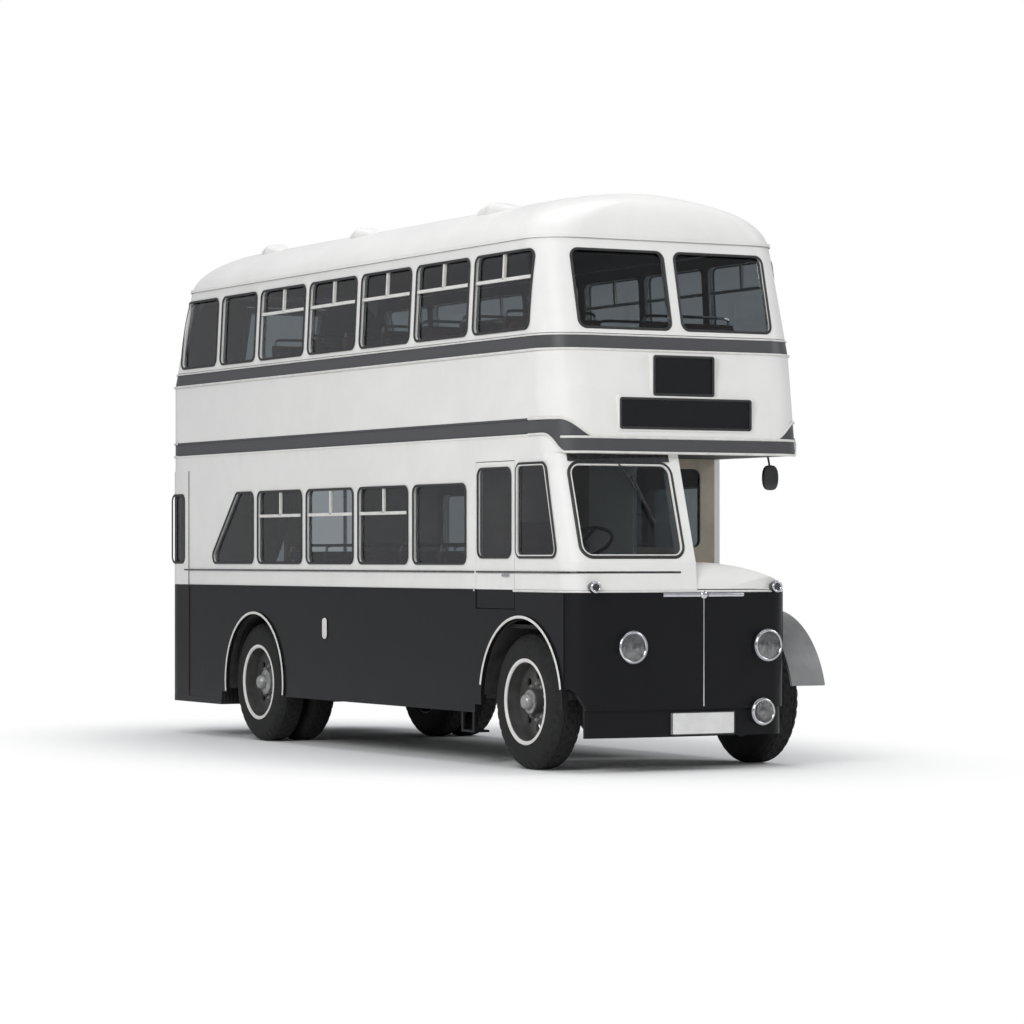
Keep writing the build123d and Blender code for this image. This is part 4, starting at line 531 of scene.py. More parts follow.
def pillow(centre, sizes, turn=0.0, steps=(13, 36), power=0.32):
    """A crowned pad: a superellipsoid, whose sines and cosines are raised to a small power, leant about Y."""
    up = np.linspace(-np.pi / 2 * 0.985, np.pi / 2 * 0.985, steps[0])
    around = np.linspace(-np.pi, np.pi, steps[1], endpoint=False)
    up, around = np.meshgrid(up, around, indexing="ij")

    def eased(wave, share):
        return np.sign(wave) * np.abs(wave) ** share

    ring = eased(np.cos(up), power)
    x = sizes[0] * ring * eased(np.cos(around), 0.22)
    y = sizes[1] * ring * eased(np.sin(around), 0.22)
    z = sizes[2] * eased(np.sin(up), 0.9)
    turned = np.stack([x * np.cos(turn) + z * np.sin(turn), y, z * np.cos(turn) - x * np.sin(turn)], -1)
    return capped(turned + np.asarray(centre, float))


def block(x0, x1, y0, y1, z0, z1):
    """A square block between two corners."""
    points = np.array([[x, y, z] for z in (z0, z1) for x, y in ((x0, y0), (x1, y0), (x1, y1), (x0, y1))])
    return capped(points.reshape(2, 4, 3))


def plan_at(z):
    """Front x, rear x and half width of the upper deck at each height, straight between its plan outlines."""
    z = np.asarray(z, float)
    return tuple(np.interp(z, UPPER_PLAN[:, 0], UPPER_PLAN[:, k]) for k in (1, 2, 3))


def arc_reach(radius, over):
    """How far a corner's arc stands off its centre, at a distance past its start, as on any circle."""
    return np.sqrt(np.maximum(radius**2 - np.maximum(over, 0) ** 2, 0))


def side_skin(side):
    """The upper deck's side, as a function of x and height: flat, then an arc round each of its corners."""

    def skin(x, z):
        front, rear, half = plan_at(z)
        over = np.maximum(x - (front - CORNER), (rear + CORNER) - x)
        return as_points(x, side * (half - CORNER + arc_reach(CORNER, over)), z)

    return skin


def end_skin(forward):
    """The upper deck's front or rear, as a function of y and height, with its corners' arcs."""

    def skin(y, z):
        front, rear, half = plan_at(z)
        reach = arc_reach(CORNER, np.abs(y) - (half - CORNER))
        return as_points(front - CORNER + reach if forward else rear + CORNER - reach, y, z)

    return skin


def flat_side(y):
    """An upright plane along the bus, as a function of x and height."""
    return lambda x, z: as_points(x, y, z)


def flat_end(x):
    """An upright plane across the bus, as a function of y and height."""
    return lambda y, z: as_points(x, y, z)


def nose_skin(y, z):
    """The nose and the raked cab front: a circle's bow between two corner arcs, moved back with height."""
    centre_x = NOSE_X - BOW_RADIUS
    y_from_mid = y - NOSE_MID
    corner_y = NOSE_HALF - NOSE_CORNER
    corner_x = centre_x + np.sqrt((BOW_RADIUS - NOSE_CORNER) ** 2 - corner_y**2)
    touch = corner_y * BOW_RADIUS / (BOW_RADIUS - NOSE_CORNER)
    bow = centre_x + np.sqrt(BOW_RADIUS**2 - y_from_mid**2)
    arc = corner_x + arc_reach(NOSE_CORNER, np.abs(y_from_mid) - corner_y)
    shift = np.interp(z, [NOSE_TOP, CAB_WAIST, DECK_EDGE], [0, 0.02, 0.29])
    return as_points(np.where(np.abs(y_from_mid) < touch, bow, arc) - shift, y, z)


def nose_x(y, z):
    """How far forward the nose reaches at one place."""
    return float(nose_skin(y, z)[0])


def skin_normal(skin, u, v, outside):
    """The outward normal of a skin, from its slopes in both parameters."""
    step = 1e-4
    normal = unit(np.cross(skin(u + step, v) - skin(u - step, v), skin(u, v + step) - skin(u, v - step)))
    return normal * np.sign((normal * np.asarray(outside, float)).sum(-1, keepdims=True))


def on_skin(skin, outline, outside, profile, closed=True):
    """A profile carried along an outline on a skin, square to it."""
    u, v = np.asarray(outline, float).T
    return carried(skin(u, v), skin_normal(skin, u, v, outside), profile, closed)


def pane(skin, outline, outside, depth, thick=0.006):
    """A sheet that follows a skin: the outline's points on two levels under it, closed by a rim."""
    u, v = np.asarray(outline, float).T
    face, normals = skin(u, v), skin_normal(skin, u, v, outside)
    return capped(np.stack([face - normals * (depth + thick), face - normals * depth]))


OFFSIDE, NEARSIDE, FORWARD, BACKWARD = (0, -1, 0), (0, 1, 0), (1, 0, 0), (-1, 0, 0)


# Window openings


def pillar_x(number):
    """The middle of a pillar, counted back from the front bulkhead."""
    return BULKHEAD_X - FIRST_PILLAR / 2 - number * BAY


def from_rear(share):
    """A place ahead of the rear end, as a share of the rear overhang."""
    return REAR_X + REAR_OVERHANG * share


full_bays = [(pillar_x(n) + PILLAR / 2, pillar_x(n - 1) - PILLAR / 2) for n in range(5)]
LAST_BAY_X = pillar_x(4) - PILLAR / 2
rear_bay = (from_rear(0.187), from_rear(0.187 + 0.378))
short_bay = (rear_bay[1] + PILLAR, LAST_BAY_X)
strip_bay = (from_rear(0.096), from_rear(0.096 + 0.139))
platform_bay = (PLATFORM_X + PILLAR, LAST_BAY_X)
slanted = [(from_rear(0.507), LOWER_SILL), (LAST_BAY_X, LOWER_SILL),
           (LAST_BAY_X, LOWER_HEAD), (from_rear(0.799), LOWER_HEAD)]
quarter = [(AXLE_X - 0.070, SCREEN_SILL), (AXLE_X + 0.575, SCREEN_SILL), (AXLE_X + 0.390, SCREEN_HEAD),
           (AXLE_X - 0.070, SCREEN_HEAD)]
screen_low, screen_high = -0.89 * HALF, -0.132 * HALF


# Window rubbers, vent bars and panes

RUBBER = half_round(0.022, 0.007)
VENT_RAIL = flat_bar(0.026, -0.030, -0.006)
VENT_SHARE = 0.34


def windows(spans, sill, head):
    """The outlines of a row of windows."""
    return [rounded_rect(start, end, sill, head) for start, end in spans]


def add_rubbers(name, skin, outlines, outside):
    """The rubbers round some windows, as one piece."""
    add_piece(name, [on_skin(skin, outline, outside, RUBBER) for outline in outlines], gasket)


for side, name, outside in ((-1, "offside", OFFSIDE), (1, "nearside", NEARSIDE)):
    upper, lower = side_skin(side), flat_side(side * HALF)
    outlines = windows(full_bays + [short_bay, rear_bay], UPPER_SILL, UPPER_HEAD)
    add_rubbers(f"upper_window_rubbers_{name}", upper, outlines, outside)
    outlines = windows(full_bays[1:], LOWER_SILL, LOWER_HEAD)
    if side < 0:
        outlines += [rounded_polygon(slanted), rounded_polygon(quarter)]
    else:
        outlines += windows([platform_bay], LOWER_SILL, LOWER_HEAD)
    add_rubbers(f"lower_window_rubbers_{name}", lower, outlines, outside)

    # Each sliding vent: a rail at the upper third of the window, and one post above its middle
    bars = []
    for skin, bays, sill, head in ((upper, full_bays, UPPER_SILL, UPPER_HEAD),
                                   (lower, full_bays[2:], LOWER_SILL, LOWER_HEAD)):
        height = head - VENT_SHARE * (head - sill)
        for x0, x1 in bays:
            across = as_points(np.linspace(x0, x1, 9), height)
            post = as_points((x0 + x1) / 2, np.linspace(height, head, 4))
            bars += [on_skin(skin, line, outside, VENT_RAIL, False) for line in (across, post)]
    add_piece(f"sliding_vent_bars_{name}", bars, bright_paint)

front_skin, rear_skin = end_skin(True), end_skin(False)
front_half, front_post = 0.758 * HALF, 0.05
front_panes = ((-front_half, -front_post), (front_post, front_half))
outlines = windows(front_panes, UPPER_SILL, UPPER_HEAD)
add_rubbers("upper_front_window_rubbers", front_skin, outlines, FORWARD)
outline = rounded_rect(screen_low, screen_high, SCREEN_SILL, SCREEN_HEAD, 0.09)
add_piece("windscreen_rubber", [on_skin(nose_skin, outline, FORWARD, half_round(0.028, 0.010))], gasket)

# Bright frames just inside the windscreen's and the quarter light's rubbers
INSET = 0.014
outline = rounded_rect(screen_low + INSET, screen_high - INSET, SCREEN_SILL + INSET, SCREEN_HEAD - INSET,
                       0.076)
bright_frames = [on_skin(nose_skin, outline, FORWARD, half_round(0.014, 0.008, sunk=0.010))]
corners = np.array(quarter) + [[0.012, 0.012], [-0.016, 0.012], [-0.014, -0.012], [0.012, -0.012]]
outline = rounded_polygon(corners, WINDOW_RADIUS - 0.012)
bright_frames.append(on_skin(flat_side(-HALF), outline, OFFSIDE, half_round(0.012, 0.006, sunk=0.010)))
add_piece("cab_window_frames", bright_frames, bright_paint)
outline = rounded_rect(-0.67 * HALF, 0.141 * HALF, LOWER_SILL, LOWER_HEAD)
strip = rounded_rect(*strip_bay, LOWER_SILL, LOWER_HEAD)
add_piece("rear_window_rubbers", [on_skin(flat_end(REAR_X), outline, BACKWARD, RUBBER),
                                  on_skin(flat_side(-HALF), strip, OFFSIDE, RUBBER)], gasket)


def glazed(body, skin, outline, outside, depth):
    """The pane and the rubber of a part that opens."""
    add_piece(f"{body}_glass", [pane(skin, outline, outside, depth)], window_pane, body)
    add_piece(f"{body}_rubber", [on_skin(skin, outline, outside, RUBBER)], gasket, body)


door_low, door_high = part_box("cab_door")
FRAME = 0.055
DOOR_GAP = 0.006
door_pane = rounded_rect(door_low.x - DOOR_GAP + FRAME, door_high.x + DOOR_GAP - FRAME, SCREEN_SILL,
                         SCREEN_HEAD - FRAME / 2)
glazed("cab_door", flat_side(-HALF), door_pane, OFFSIDE, 0.014)
exit_half, exit_low = 0.37 * HALF - FRAME, level(0.6782) + FRAME
exit_pane = rounded_rect(-exit_half, exit_half, exit_low, UPPER_HEAD - FRAME, 0.03)
glazed("emergency_window", rear_skin, exit_pane, BACKWARD, 0.018)


# Beads round the body


def round_the_body(z_side, back, line=HIGH_LINE, drop=0.0, steps=24):
    """A path on the upper deck's skin from one side round the front to the other, with its outward normals.

    It runs along the side, round a quarter arc, across the front, and back the same way. Its height falls
    from the side's level to the front's by a smooth step of the distance from the middle, between the line's
    two.
    """
    front, _, half = plan_at(z_side)
    turn = np.linspace(0, np.pi / 2, steps)
    x_side = np.linspace(back, front - CORNER, 6)[:-1]
    y_front = np.linspace(-(half - CORNER), half - CORNER, 24)[1:-1]
    x = np.concatenate([x_side, front - CORNER + CORNER * np.sin(turn), 0 * y_front + front])
    y = np.concatenate([0 * x_side - half, -(half - CORNER) - CORNER * np.cos(turn), y_front])
    nx = np.concatenate([0 * x_side, np.sin(turn), 0 * y_front + 1])
    ny = np.concatenate([0 * x_side - 1, -np.cos(turn), 0 * y_front])
    x, nx = (np.concatenate([v, v[: len(x_side) + steps][::-1]]) for v in (x, nx))
    y, ny = (np.concatenate([v, -v[: len(x_side) + steps][::-1]]) for v in (y, ny))
    share = np.clip((np.abs(y) - line[0]) / (line[1] - line[0]), 0, 1)
    z = z_side - drop * (1 - share**2 * (3 - 2 * share))
    lean = plan_at(z)[0] - front
    return as_points(x + lean * nx, y, z), as_points(nx, ny, 0.0)


BODY_BEAD = half_round(0.020, 0.009)
THIN_BEAD = half_round(0.014, 0.006)
split_x = AXLE_X + 0.13
level_bead = round_the_body(DECK_EDGE + FRONT_STRIPE, split_x)
in_front = np.abs(level_bead[0][:, 1]) < HIGH_LINE[1]
beads = [round_the_body(BAND_LOW, split_x, LOW_LINE, BAND_DROP),
         round_the_body(BAND_HIGH, split_x, drop=BAND_DROP),
         [line[in_front] for line in level_bead]]
add_piece("front_band_beads", [carried(*bead, BODY_BEAD) for bead in beads], bright_paint)
add_piece("waist_bead", [carried(*round_the_body(WAIST, REAR_X + CORNER), BODY_BEAD)], bright_paint)
stripe_line = round_the_body(WAIST + WAIST_STRIPE, REAR_X + CORNER)
add_piece("waist_stripe_bead", [carried(*stripe_line, THIN_BEAD)], bright_paint)


def round_the_rear(z, profile, gap=0.0):
    """The same path turned about and carried round the rear, without the stretch within the gap."""
    front, rear, _ = plan_at(z)
    path, normals = round_the_body(z, front - CORNER - 0.010)
    path, normals = [front + rear, 0, 0] + path * [-1, 1, 1], normals * [-1, 1, 1]
    sides = (path[:, 1] <= -gap, path[:, 1] >= gap) if gap else (path[:, 1] < np.inf,)
    return [carried(path[part], normals[part], profile) for part in sides]


rear_beads = [run for z in (BAND_LOW, BAND_HIGH, WAIST) for run in round_the_rear(z, BODY_BEAD)]
rear_beads += round_the_rear(WAIST + WAIST_STRIPE, THIN_BEAD, 0.40 * HALF)
add_piece("rear_band_beads", rear_beads, bright_paint)


def across_the_nose(z, y_end, profile):
    """A bead round the offside corner and over the nose, its steps even round the corner's arc."""
    a = np.linspace(0.02, np.pi / 2, 20)
    corner = -HALF + NOSE_CORNER * (1 - np.cos(a))
    y = np.concatenate([corner, np.linspace(-HALF + NOSE_CORNER, y_end, 50)[1:]])
    return on_skin(nose_skin, as_points(y, z), FORWARD, profile, False)


def along_the_cab(z, x0, x1, profile):
    """A bead along the cab's flat side."""
    return on_skin(flat_side(-HALF), [(x0, z), ((x0 + x1) / 2, z), (x1, z)], OFFSIDE, profile, False)


CLEAR = 0.004
corner_x = nose_x(-HALF + 1e-5, LOWER_BEAD)
bead = half_round(0.018, 0.009)
runs = [across_the_nose(LOWER_BEAD, NOSE_SIDE_Y - 0.006, bead),
        along_the_cab(LOWER_BEAD, BULKHEAD_X, door_low.x - CLEAR, bead),
        along_the_cab(LOWER_BEAD, door_high.x + CLEAR, corner_x, bead)]
add_piece("cab_and_nose_bead", runs, bright_paint)

# A dark bead under the lower deck's windows, along both sides and the cab
SILL_BEAD = LOWER_BEAD + 0.145
bead = half_round(0.016, 0.006)
saloon_end = BULKHEAD_X - 0.002
nearside_run = [(PLATFORM_X, SILL_BEAD), (0.0, SILL_BEAD), (saloon_end, SILL_BEAD)]
runs = [along_the_cab(SILL_BEAD, strip_bay[1], saloon_end, bead),
        along_the_cab(SILL_BEAD, door_high.x + CLEAR, corner_x - 0.010, bead),
        on_skin(flat_side(HALF), nearside_run, NEARSIDE, bead, False),
        across_the_nose(SILL_BEAD, -0.20, bead)]
add_piece("sill_beads", runs, lamp_black)

# The door's part of it starts ahead of the hinge, so that it swings clear
door_run = along_the_cab(SILL_BEAD, door_low.x + 0.030, door_high.x - 0.002, bead)
add_piece("cab_door_sill_bead", [door_run], lamp_black, "cab_door")

# A black panel between the windscreen and the canopy, a painted shade: a dark sheet that stands in for the
# shadow under the canopy. It is a strip of the cab's skin between two heights
y = np.linspace(-HALF + 0.13, -0.135 * HALF, 40)
low_edge, high_edge = (nose_skin(y, z) for z in (SCREEN_HEAD + 0.012, DECK_EDGE - 0.012))
stand, sunk = [0.009, 0, 0], [-0.004, 0, 0]
sheet = np.stack([low_edge + sunk, low_edge + stand, high_edge + stand, high_edge + sunk], 1)
add_piece("windscreen_head_panel", [capped(sheet)], lamp_black)


def over_wheel(radius, foot, steps):
    """Angles over a wheel, from a foot level on one side of it to the same level on the other."""
    low = np.arcsin((foot - TYRE_RADIUS) / radius)
    return np.linspace(low, np.pi - low, steps)


def arch_bead(x, side, radius, foot):
    """A bright edge round a wheel arch: a bead carried over a part circle."""
    a = over_wheel(radius, foot, 60)
    path = as_points(x + radius * np.cos(a), side * (HALF + 0.008), TYRE_RADIUS + radius * np.sin(a))
    return carried(path, (0, side, 0), half_round(0.022, 0.004))


add_piece("wheel_arch_beads", [arch_bead(AXLE_X, -1, 0.654, 0.64), arch_bead(REAR_AXLE_X, -1, 0.619, 0.43),
                               arch_bead(REAR_AXLE_X, 1, 0.619, 0.43)], bright_paint)


# The nose: chrome bars with a knob between them, and a bead down the middle

BAR_Z = 1.352
KNOB_RADIUS = 0.034
bar_lines = [as_points(np.linspace(y0, y1, 20), BAR_Z) for y0, y1 in ((-0.365, -0.035), (0.035, 0.365))]
bars = [on_skin(nose_skin, line, FORWARD, half_round(0.036, 0.016), False) for line in bar_lines]
a = np.linspace(0, np.pi / 2, 9)
knob = np.stack([KNOB_RADIUS * np.cos(a) + 1e-4, 0.026 * np.sin(a)], -1)
knob = np.concatenate([[[KNOB_RADIUS, -0.004]], knob])
bars.append(revolved(knob, (nose_x(0.0, BAR_Z), 0, BAR_Z), FORWARD, 32))
middle_line = as_points(0.0, np.linspace(0.5, BAR_Z - 0.03, 20))
bars.append(on_skin(nose_skin, middle_line, FORWARD, half_round(0.012, 0.007), False))
add_piece("nose_chrome_bars", bars, chrome)
edge_line = as_points(NOSE_SIDE_Y - 0.008, np.linspace(0.56, 1.35, 20))
edge_bead = on_skin(nose_skin, edge_line, FORWARD, half_round(0.010, 0.005), False)
add_piece("nose_corner_bead", [edge_bead], bright_paint)


# Lamps: a chrome rim and a domed lens on each drum


def lamp_front(place, radius, way, dome):
    """A lamp's rim, a rolled ring, and its lens, a shallow dome with a flat back."""
    a = full_turn(12)
    rim = np.stack([radius + 0.010 * np.cos(a), 0.012 * np.sin(a)], -1)
    b = np.linspace(0.02, 1, 10)
    glass = np.stack([radius * b, dome * (1 - b**2) + 0.003], -1)
    glass = np.concatenate([[[1e-4, dome + 0.003]], glass, [[radius, 0.001], [1e-4, 0.001]]])
    return revolved(rim, place, way, 48, True), revolved(glass, place, way, 48)


def add_fronts(name, fronts, glass):
    """The rims and the lenses of some lamps, as two pieces."""
    rims, lenses = zip(*fronts)
    add_piece(f"{name}_rims", rims, chrome)
    add_piece(f"{name}_lenses", lenses, glass)


lamps = [(-0.564 * HALF, 0.958, 0.112), (0.498 * HALF, 0.962, 0.112), (0.458 * HALF, 0.450, 0.092)]
add_fronts("lamp", [lamp_front((LAMP_X, y, z), r, FORWARD, 0.022) for y, z, r in lamps], fluted_lens)
dish = np.array([[1.0, 0.0], [0.97, 0.0022], [0.30, 0.0012], [0.22, 0.0030], [0.10, 0.0034], [0.001, 0.0034]])
dishes = [revolved(dish * [0.93 * r, 1], (LAMP_X, y, z), FORWARD) for y, z, r in lamps]
add_piece("lamp_reflectors", dishes, reflector)
tails = [lamp_front((REAR_X - 0.030, y, 0.9), 0.046, BACKWARD, 0.010) for y in (-0.7, 0.2)]
add_fronts("tail_lamp", tails, red_lens)

SIDE_LAMP_Z = 1.413
SHELL_RADIUS = 0.045
shells, fronts = [], []
for y in (-0.962, 0.655):
    x = nose_x(y, 1.40)
    a = np.linspace(0.02, np.pi / 2, 10)
    body = np.stack([SHELL_RADIUS * np.sin(a), -0.085 * np.cos(a)], -1)
    body = np.concatenate([body, [[SHELL_RADIUS, 0.012], [0.038, 0.014], [1e-4, 0.010]]])
    shells.append(revolved(body, (x + 0.055, y, SIDE_LAMP_Z), FORWARD, 32))
    shells.append(carried([[x + 0.02, y, 1.37], [x + 0.02, y, 1.41]], FORWARD, circle(0.012)))
    fronts.append(lamp_front((x + 0.067, y, SIDE_LAMP_Z), 0.036, FORWARD, 0.012))
add_piece("side_lamps", shells, lamp_black)
add_fronts("side_lamp", fronts, lamp_lens)


# Destination screens: blank blinds behind glass, in frames on the raked front

SIGN_RECESS = 0.018
PLAY = 0.001
signs = ((0.233 * HALF, level(0.5723), level(0.6505)), (0.511 * HALF, level(0.5027), level(0.5625)))
sign_parts, blind_parts, sign_glass = [], [], []
for half, low, high in signs:
    face = float(plan_at(low)[0]) + 0.010
    within = (-half + PLAY, half - PLAY, low + PLAY, high - PLAY)
    blind_parts.append(block(face - SIGN_RECESS, face - SIGN_RECESS + 0.004, *within))
    sign_glass.append(block(face - 0.008, face - 0.004, *within))
    outline = rounded_rect(-half, half, low, high, 0.012)
    sign_parts.append(on_skin(flat_end(face), outline, FORWARD, half_round(0.020, 0.008)))
add_piece("destination_blinds", blind_parts, blind_cloth, smooth=False)
add_piece("destination_glass", sign_glass, window_pane, smooth=False)
add_piece("destination_frames", sign_parts, gasket)


def blank_plate(end, x, outside, sizes, thick):
    """A blank number plate and the dark edge round it."""
    skin, outline = flat_end(x), rounded_rect(*sizes, 0.012)
    add_piece(f"{end}_plate_blank", [pane(skin, outline, outside, 0.0, thick)], plate_white)
    add_piece(f"{end}_plate_edge", [on_skin(skin, outline, outside, half_round(0.010, 0.004))], lamp_black)


blank_plate("front", NOSE_X - 0.006, FORWARD, (-0.28, 0.28, 0.285, 0.455), 0.022)
blank_plate("rear", REAR_X - 0.010, BACKWARD, (-0.53, -0.05, 0.60, 0.77), 0.012)


# Tyres with ribs, zigzag grooves and rounded shoulders


def tyre(centre, side, half_width=0.1275, rim=0.315, steps=288):
    """A tyre's skin as a grid of turn and section, closed both ways.

    The section runs over the tread, round each shoulder by a superellipse, down the bulged walls and across
    the rim. The tread's radius drops by a groove's depth where the place across is near a zigzag of the turn,
    and the shoulders are notched in step with it.
    """
    a = full_turn(steps)[:, None]
    t = np.linspace(-np.pi / 2, np.pi / 2, 45)[None, :]
    across = np.sign(np.sin(t)) * np.abs(np.sin(t)) ** 0.62 * half_width
    reach = rim + (TYRE_RADIUS - rim) * np.abs(np.cos(t)) ** 0.42
    reach = np.where(np.abs(across) < half_width * 0.70, np.minimum(reach + 0.004, TYRE_RADIUS), reach)
    zig = 2 * np.abs((a * 36 / np.pi) % 2 - 1) - 1
    groove = np.zeros((steps, t.shape[1]))
    for place in (-0.056, -0.019, 0.019, 0.056):
        groove = np.maximum(groove, (np.abs(across - place - 0.005 * zig) < 0.0045) * 0.010)
    notch = (np.abs(across) > 0.086) & (np.abs(across) < 0.118) & (zig > 0.15)
    groove = np.maximum(groove, notch * 0.007)
    ridge = 0.002 * (np.abs(reach - 0.40) < 0.006) + 0.002 * (np.abs(reach - 0.47) < 0.006)
    radius = reach + 0 * a - groove
    wide = across + np.sign(across) * ridge + 0 * a
    inner = np.linspace(half_width, -half_width, 5)[None, 1:-1]
    radius = np.concatenate([radius, 0 * a + 0 * inner + rim], 1)
    wide = np.concatenate([wide, 0 * a + inner], 1)
    points = [centre[0] + radius * np.sin(a), centre[1] + side * wide, centre[2] + radius * np.cos(a)]
    return capped(as_points(*points), True)


def wheel_trim(centre, side, front):
    """A rim's rolled lip, then nuts and a hub cap: profiles turned about the axle or a nut's own middle."""
    out = (0, side, 0)
    a = full_turn(10)
    lip = np.stack([0.322 + 0.018 * np.cos(a), 0.118 + 0.014 * np.sin(a)], -1)
    nut = [[0.017, 0.004], [0.017, 0.026], [0.010, 0.027], [0.010, 0.036], [1e-4, 0.036]]
    places = np.array(centre) + 0.140 * as_points(np.sin(a), 0.0, np.cos(a))
    fixings = [revolved(nut, place, out, 6) for place in places]
    if front:
        cap = [[0.092, 0.071], [0.092, 0.087], [0.066, 0.091], [0.060, 0.125], [0.048, 0.139], [1e-4, 0.143]]
    else:
        cap = [[0.112, 0.004], [0.108, 0.060], [0.066, 0.078], [0.060, 0.112], [0.048, 0.126], [1e-4, 0.130]]
    fixings.append(revolved(cap, centre, out, 40))
    return revolved(lip, centre, out, 72, True), fixings


for side, name in ((-1, "offside"), (1, "nearside")):
    front_wheel, rear_wheel = f"{name}_front_wheel", f"{name}_rear_wheel"
    front_centre = (AXLE_X, side * WHEEL_Y, TYRE_RADIUS)
    piece = add_piece(f"{name}_front_treaded_tyre", [tyre(front_centre, side)], rubber, front_wheel)
    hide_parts(f"{name}_front_tyre")
    twins = [(REAR_AXLE_X, side * (REAR_WHEEL_Y + offset), TYRE_RADIUS) for offset in (-0.145, 0.145)]
    piece = add_piece(f"{name}_rear_treaded_tyres", [tyre(twin, side) for twin in twins], rubber, rear_wheel)
    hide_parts(f"{name}_rear_tyre")
    for end, centre, body in (("front", front_centre, front_wheel), ("rear", twins[1], rear_wheel)):
        lip, fixings = wheel_trim(centre, side, end == "front")
        # The lip is a real part of the rim, but its bright paint is a painted highlight: it stands in for the
        # light ring where the wheel catches the light.
        add_piece(f"{name}_{end}_rim_lip", [lip], bright_paint, body)
        add_piece(f"{name}_{end}_wheel_nuts", fixings, steel_grey, body)


# Seats: crowned cushions and backs with piping, and a chrome rail over each back

SEAT_HALF = 0.375 * HALF
PAD_HALF = SEAT_HALF / 2 - 0.006
SEAT_PITCH = 0.72
SEAT_Y = HALF - 0.05 - 0.04 - SEAT_HALF
seat_rows = [(-1, 5, BULKHEAD_X - 0.30, FLOOR), (1, 5, BULKHEAD_X - 0.30, FLOOR),
             (-1, 7, AXLE_X + 0.04, UPPER_FLOOR), (1, 9, AXLE_X + 0.04, UPPER_FLOOR)]
seat_places = [(first - SEAT_PITCH * row, side * SEAT_Y, floor)
               for side, rows, first, floor in seat_rows for row in range(rows)]


def piping(centre, sizes, turn):
    """A cord round a pad's widest line: a rounded rectangle in the pad's plane, leant with it."""
    x, y = rounded_rect(-sizes[0], sizes[0], -sizes[1], sizes[1], 0.035).T
    path = np.stack([x * np.cos(turn), y, -x * np.sin(turn)], -1) + np.asarray(centre, float)
    return carried(path, (np.sin(turn), 0, np.cos(turn)), circle(0.005, 6), True)


for name, floor_level in (("lower", FLOOR), ("upper", UPPER_FLOOR)):
    cushions, backs, cords, rails = [], [], [], []
    for x, y, floor in seat_places:
        if floor != floor_level:
            continue
        for offset in (-SEAT_HALF / 2, SEAT_HALF / 2):
            seat = ((x - 0.200, y + offset, floor + 0.436), (0.180, PAD_HALF, 0.036), -0.058)
            back = ((x - 0.398, y + offset, floor + 0.700), (0.215, PAD_HALF, 0.034), 1.438)
            cushions.append(pillow(*seat))
            backs.append(pillow(*back))
            cords += [piping(*seat), piping(*back)]
        v = np.linspace(0, 1, 24)
        swing = np.sign(np.cos(np.pi * v)) * np.abs(np.cos(np.pi * v)) ** 0.25
        height = floor + 0.93 + 0.075 * np.sin(np.pi * v) ** 0.25
        path = as_points(x - 0.485, y + (SEAT_HALF - 0.03) * swing, height)
        rails.append(carried(path, (1, 0, 0), circle(0.012, 8)))
    for kind, parts in (("cushions", cushions), ("backs", backs)):
        pads = add_piece(f"{name}_seat_{kind}", parts, seat_leather)
    add_piece(f"{name}_seat_piping", cords, dark_plastic)
    add_piece(f"{name}_seat_rails", rails, chrome)


# Small fittings: mirror, wiper, door handle, filler flap, arch liners and bonnet louvres

MIRROR_Y = 0.985
arm = [[AXLE_X + 0.20, MIRROR_Y, DECK_EDGE + 0.01], [AXLE_X + 0.22, MIRROR_Y, 2.40],
       [AXLE_X + 0.24, MIRROR_Y, 2.33]]
mirror = pillow((AXLE_X + 0.24, MIRROR_Y, 2.27), (0.018, 0.07, 0.10), power=0.6)
add_piece("nearside_mirror", [carried(arm, (0, 1, 0), circle(0.008)), mirror], lamp_black)
wiper_arm = as_points(np.linspace(-0.60, -0.42, 12), np.linspace(SCREEN_HEAD - 0.01, SCREEN_HEAD - 0.34, 12))
blade = as_points(np.linspace(-0.36, -0.50, 12), np.linspace(SCREEN_HEAD - 0.48, SCREEN_HEAD - 0.10, 12))
wiper = [on_skin(nose_skin, line, FORWARD, flat_bar(*bar), False)
         for line, bar in ((wiper_arm, (0.008, 0.010, 0.018)), (blade, (0.014, 0.001, 0.011)))]
add_piece("windscreen_wiper", wiper, lamp_black)
x = np.linspace(float(door_high.x) - 0.19, float(door_high.x) - 0.07, 9)
bow = np.sin(np.linspace(0, np.pi, 9)) ** 0.3 * 0.0036
handle = carried(as_points(x, -HALF - bow + 0.001, 1.50), OFFSIDE, flat_bar(0.018, -0.002, 0.004))
add_piece("cab_door_handle", [handle], chrome, "cab_door")
flap = rounded_rect(-0.445, -0.375, 0.945, 1.115, 0.03)
flap_parts = [pane(flat_side(-HALF - 0.007), flap, OFFSIDE, 0.0, 0.010),
              on_skin(flat_side(-HALF), flap, OFFSIDE, half_round(0.010, 0.007))]
add_piece("fuel_filler_flap", flap_parts, bright_paint)


def arch_liner(x, radius, y0, y1, foot, thick=0.006):
    """A wheel housing: a thin band of two radii, turned over the wheel."""
    a = over_wheel(radius, foot, 40)[:, None]
    reach, y = np.array([[radius, y0], [radius, y1], [radius - thick, y1], [radius - thick, y0]]).T
    return capped(as_points(x + reach * np.cos(a), y, TYRE_RADIUS + reach * np.sin(a)))


add_piece("wheel_arch_liners", [arch_liner(AXLE_X, 0.643, -HALF + 0.03, -0.62, 0.56),
                                arch_liner(REAR_AXLE_X, 0.608, -HALF + 0.03, -0.52, 0.45),
                                arch_liner(REAR_AXLE_X, 0.608, 0.52, HALF - 0.03, 0.45)], chassis_paint)


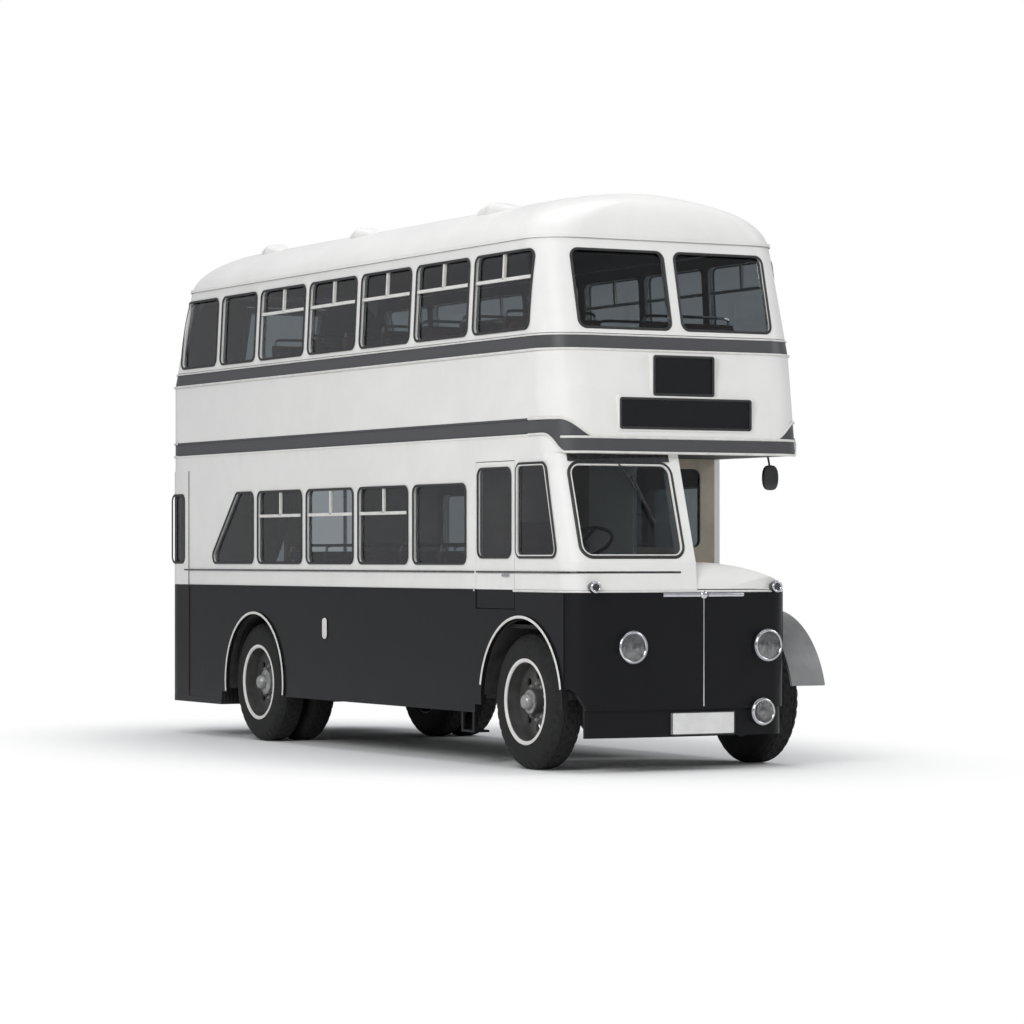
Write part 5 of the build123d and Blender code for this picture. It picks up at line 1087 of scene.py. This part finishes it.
def louvre(x, z, half_width=0.034, half_height=0.035, stand=0.012):
    """A pressed louvre: half an ellipse whose stand swells and sinks again along its height by a sine."""
    a = np.linspace(0, np.pi, 9)
    v = np.linspace(0.25, np.pi - 0.25, 5)[:, None]
    across = np.concatenate([half_width * np.cos(a), [-half_width, half_width]])
    rise = np.concatenate([stand * np.sin(a), [-0.002, -0.002]])
    up = np.linspace(-half_height, half_height, 5)[:, None]
    return capped(as_points(x + across, NOSE_SIDE_Y + rise * np.sin(v), z + up))


louvres = [louvre(BULKHEAD_X + 0.20 + 0.095 * n, z) for n in range(11) for z in (1.20, 1.30)]
add_piece("bonnet_side_louvres", louvres, black_paint)


# Stage, lights and camera


def make_stage():
    """A wide pale floor. It keeps the shadow near the bus, and fades into plain white further out."""
    size = 150.0
    mesh = bpy.data.meshes.new("floor")
    corners = [(-size, -size, 0), (size, -size, 0), (size, size, 0), (-size, size, 0)]
    mesh.from_pydata(corners, [], [(0, 1, 2, 3)])
    floor = bpy.data.objects.new("floor", mesh)
    scene.collection.objects.link(floor)
    material, nodes, shader, place = new_material("stage_floor")
    set_up(shader, Base_Color=(0.88, 0.88, 0.87, 1), Roughness=0.9)
    squeezed = on_vectors(nodes, "MULTIPLY", "Vector", place["Object"], (0.6, 1.0, 1.0))
    away = on_vectors(nodes, "LENGTH", "Value", squeezed)
    fade = mapped(nodes, away, interpolation_type="SMOOTHSTEP", From_Min=1.9, From_Max=4.0)
    rays = add_node(nodes, "ShaderNodeLightPath", "Is Camera Ray")
    white = add_node(nodes, "ShaderNodeEmission", 0, Color=(1, 1, 1, 1), Strength=1.0)
    seen = maths(nodes, "MULTIPLY", fade, rays)
    mix = add_node(nodes, "ShaderNodeMixShader", 0, seen, shader.outputs[0], white)
    set_up(nodes["Material Output"], Surface=mix)
    mesh.materials.append(material)
    floor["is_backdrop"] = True


def make_world():
    """A pale sky for the light, and plain white for what the camera sees."""
    world = bpy.data.worlds.new("studio")
    world.use_nodes = True
    scene.world = world
    nodes = world.node_tree.nodes
    nodes.clear()
    rays = add_node(nodes, "ShaderNodeLightPath", "Is Camera Ray")
    light = add_node(nodes, "ShaderNodeBackground", 0, Color=(0.93, 0.95, 1.0, 1), Strength=0.50)
    seen = add_node(nodes, "ShaderNodeBackground", 0, Color=(1, 1, 1, 1), Strength=1.0)
    mix = add_node(nodes, "ShaderNodeMixShader", 0, rays, light, seen)
    set_up(nodes.new("ShaderNodeOutputWorld"), Surface=mix)


def make_lamp(name, place, target, size, power):
    """A soft square lamp aimed at a point."""
    data = bpy.data.lights.new(name, "AREA")
    data.shape = "SQUARE"
    data.size = size
    data.energy = power
    lamp = bpy.data.objects.new(name, data)
    scene.collection.objects.link(lamp)
    lamp.location = place
    lamp.rotation_euler = (Vector(target) - Vector(place)).to_track_quat("-Z", "Y").to_euler()


CAMERA_PLACE = (AXLE_X + 24.00, -14.24, 1.636)
CAMERA_TURN = 28.49
FOCAL_PIXELS = 3548
HORIZON_PIXEL = 557.7
PICTURE = 1024
SENSOR = 36.0


def make_camera():
    """The camera of the drawing: level, a long lens, and its picture shifted a little above the horizon."""
    data = bpy.data.cameras.new("camera")
    camera = bpy.data.objects.new("camera", data)
    scene.collection.objects.link(camera)
    data.sensor_width = SENSOR
    data.lens = SENSOR * FOCAL_PIXELS / PICTURE
    data.shift_y = (HORIZON_PIXEL - PICTURE / 2) / PICTURE
    data.clip_end = 400
    camera.location = CAMERA_PLACE
    camera.rotation_euler = (np.pi / 2, 0, np.pi / 2 - np.radians(CAMERA_TURN))
    scene.camera = camera


make_stage()
make_world()
make_lamp("key", (14, -16, 12), (0, 0, 2), 9, 2300)
make_lamp("fill", (12, 20, 15), (2, 0, 2), 9, 1400)
make_lamp("top", (0, 0, 14), (0, 0, 2), 9, 700)
make_camera()
scene.view_settings.view_transform = "Standard"

low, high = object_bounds()
{"cad": [list(cad_low), list(cad_high)], "visual": [list(low), list(high)]}
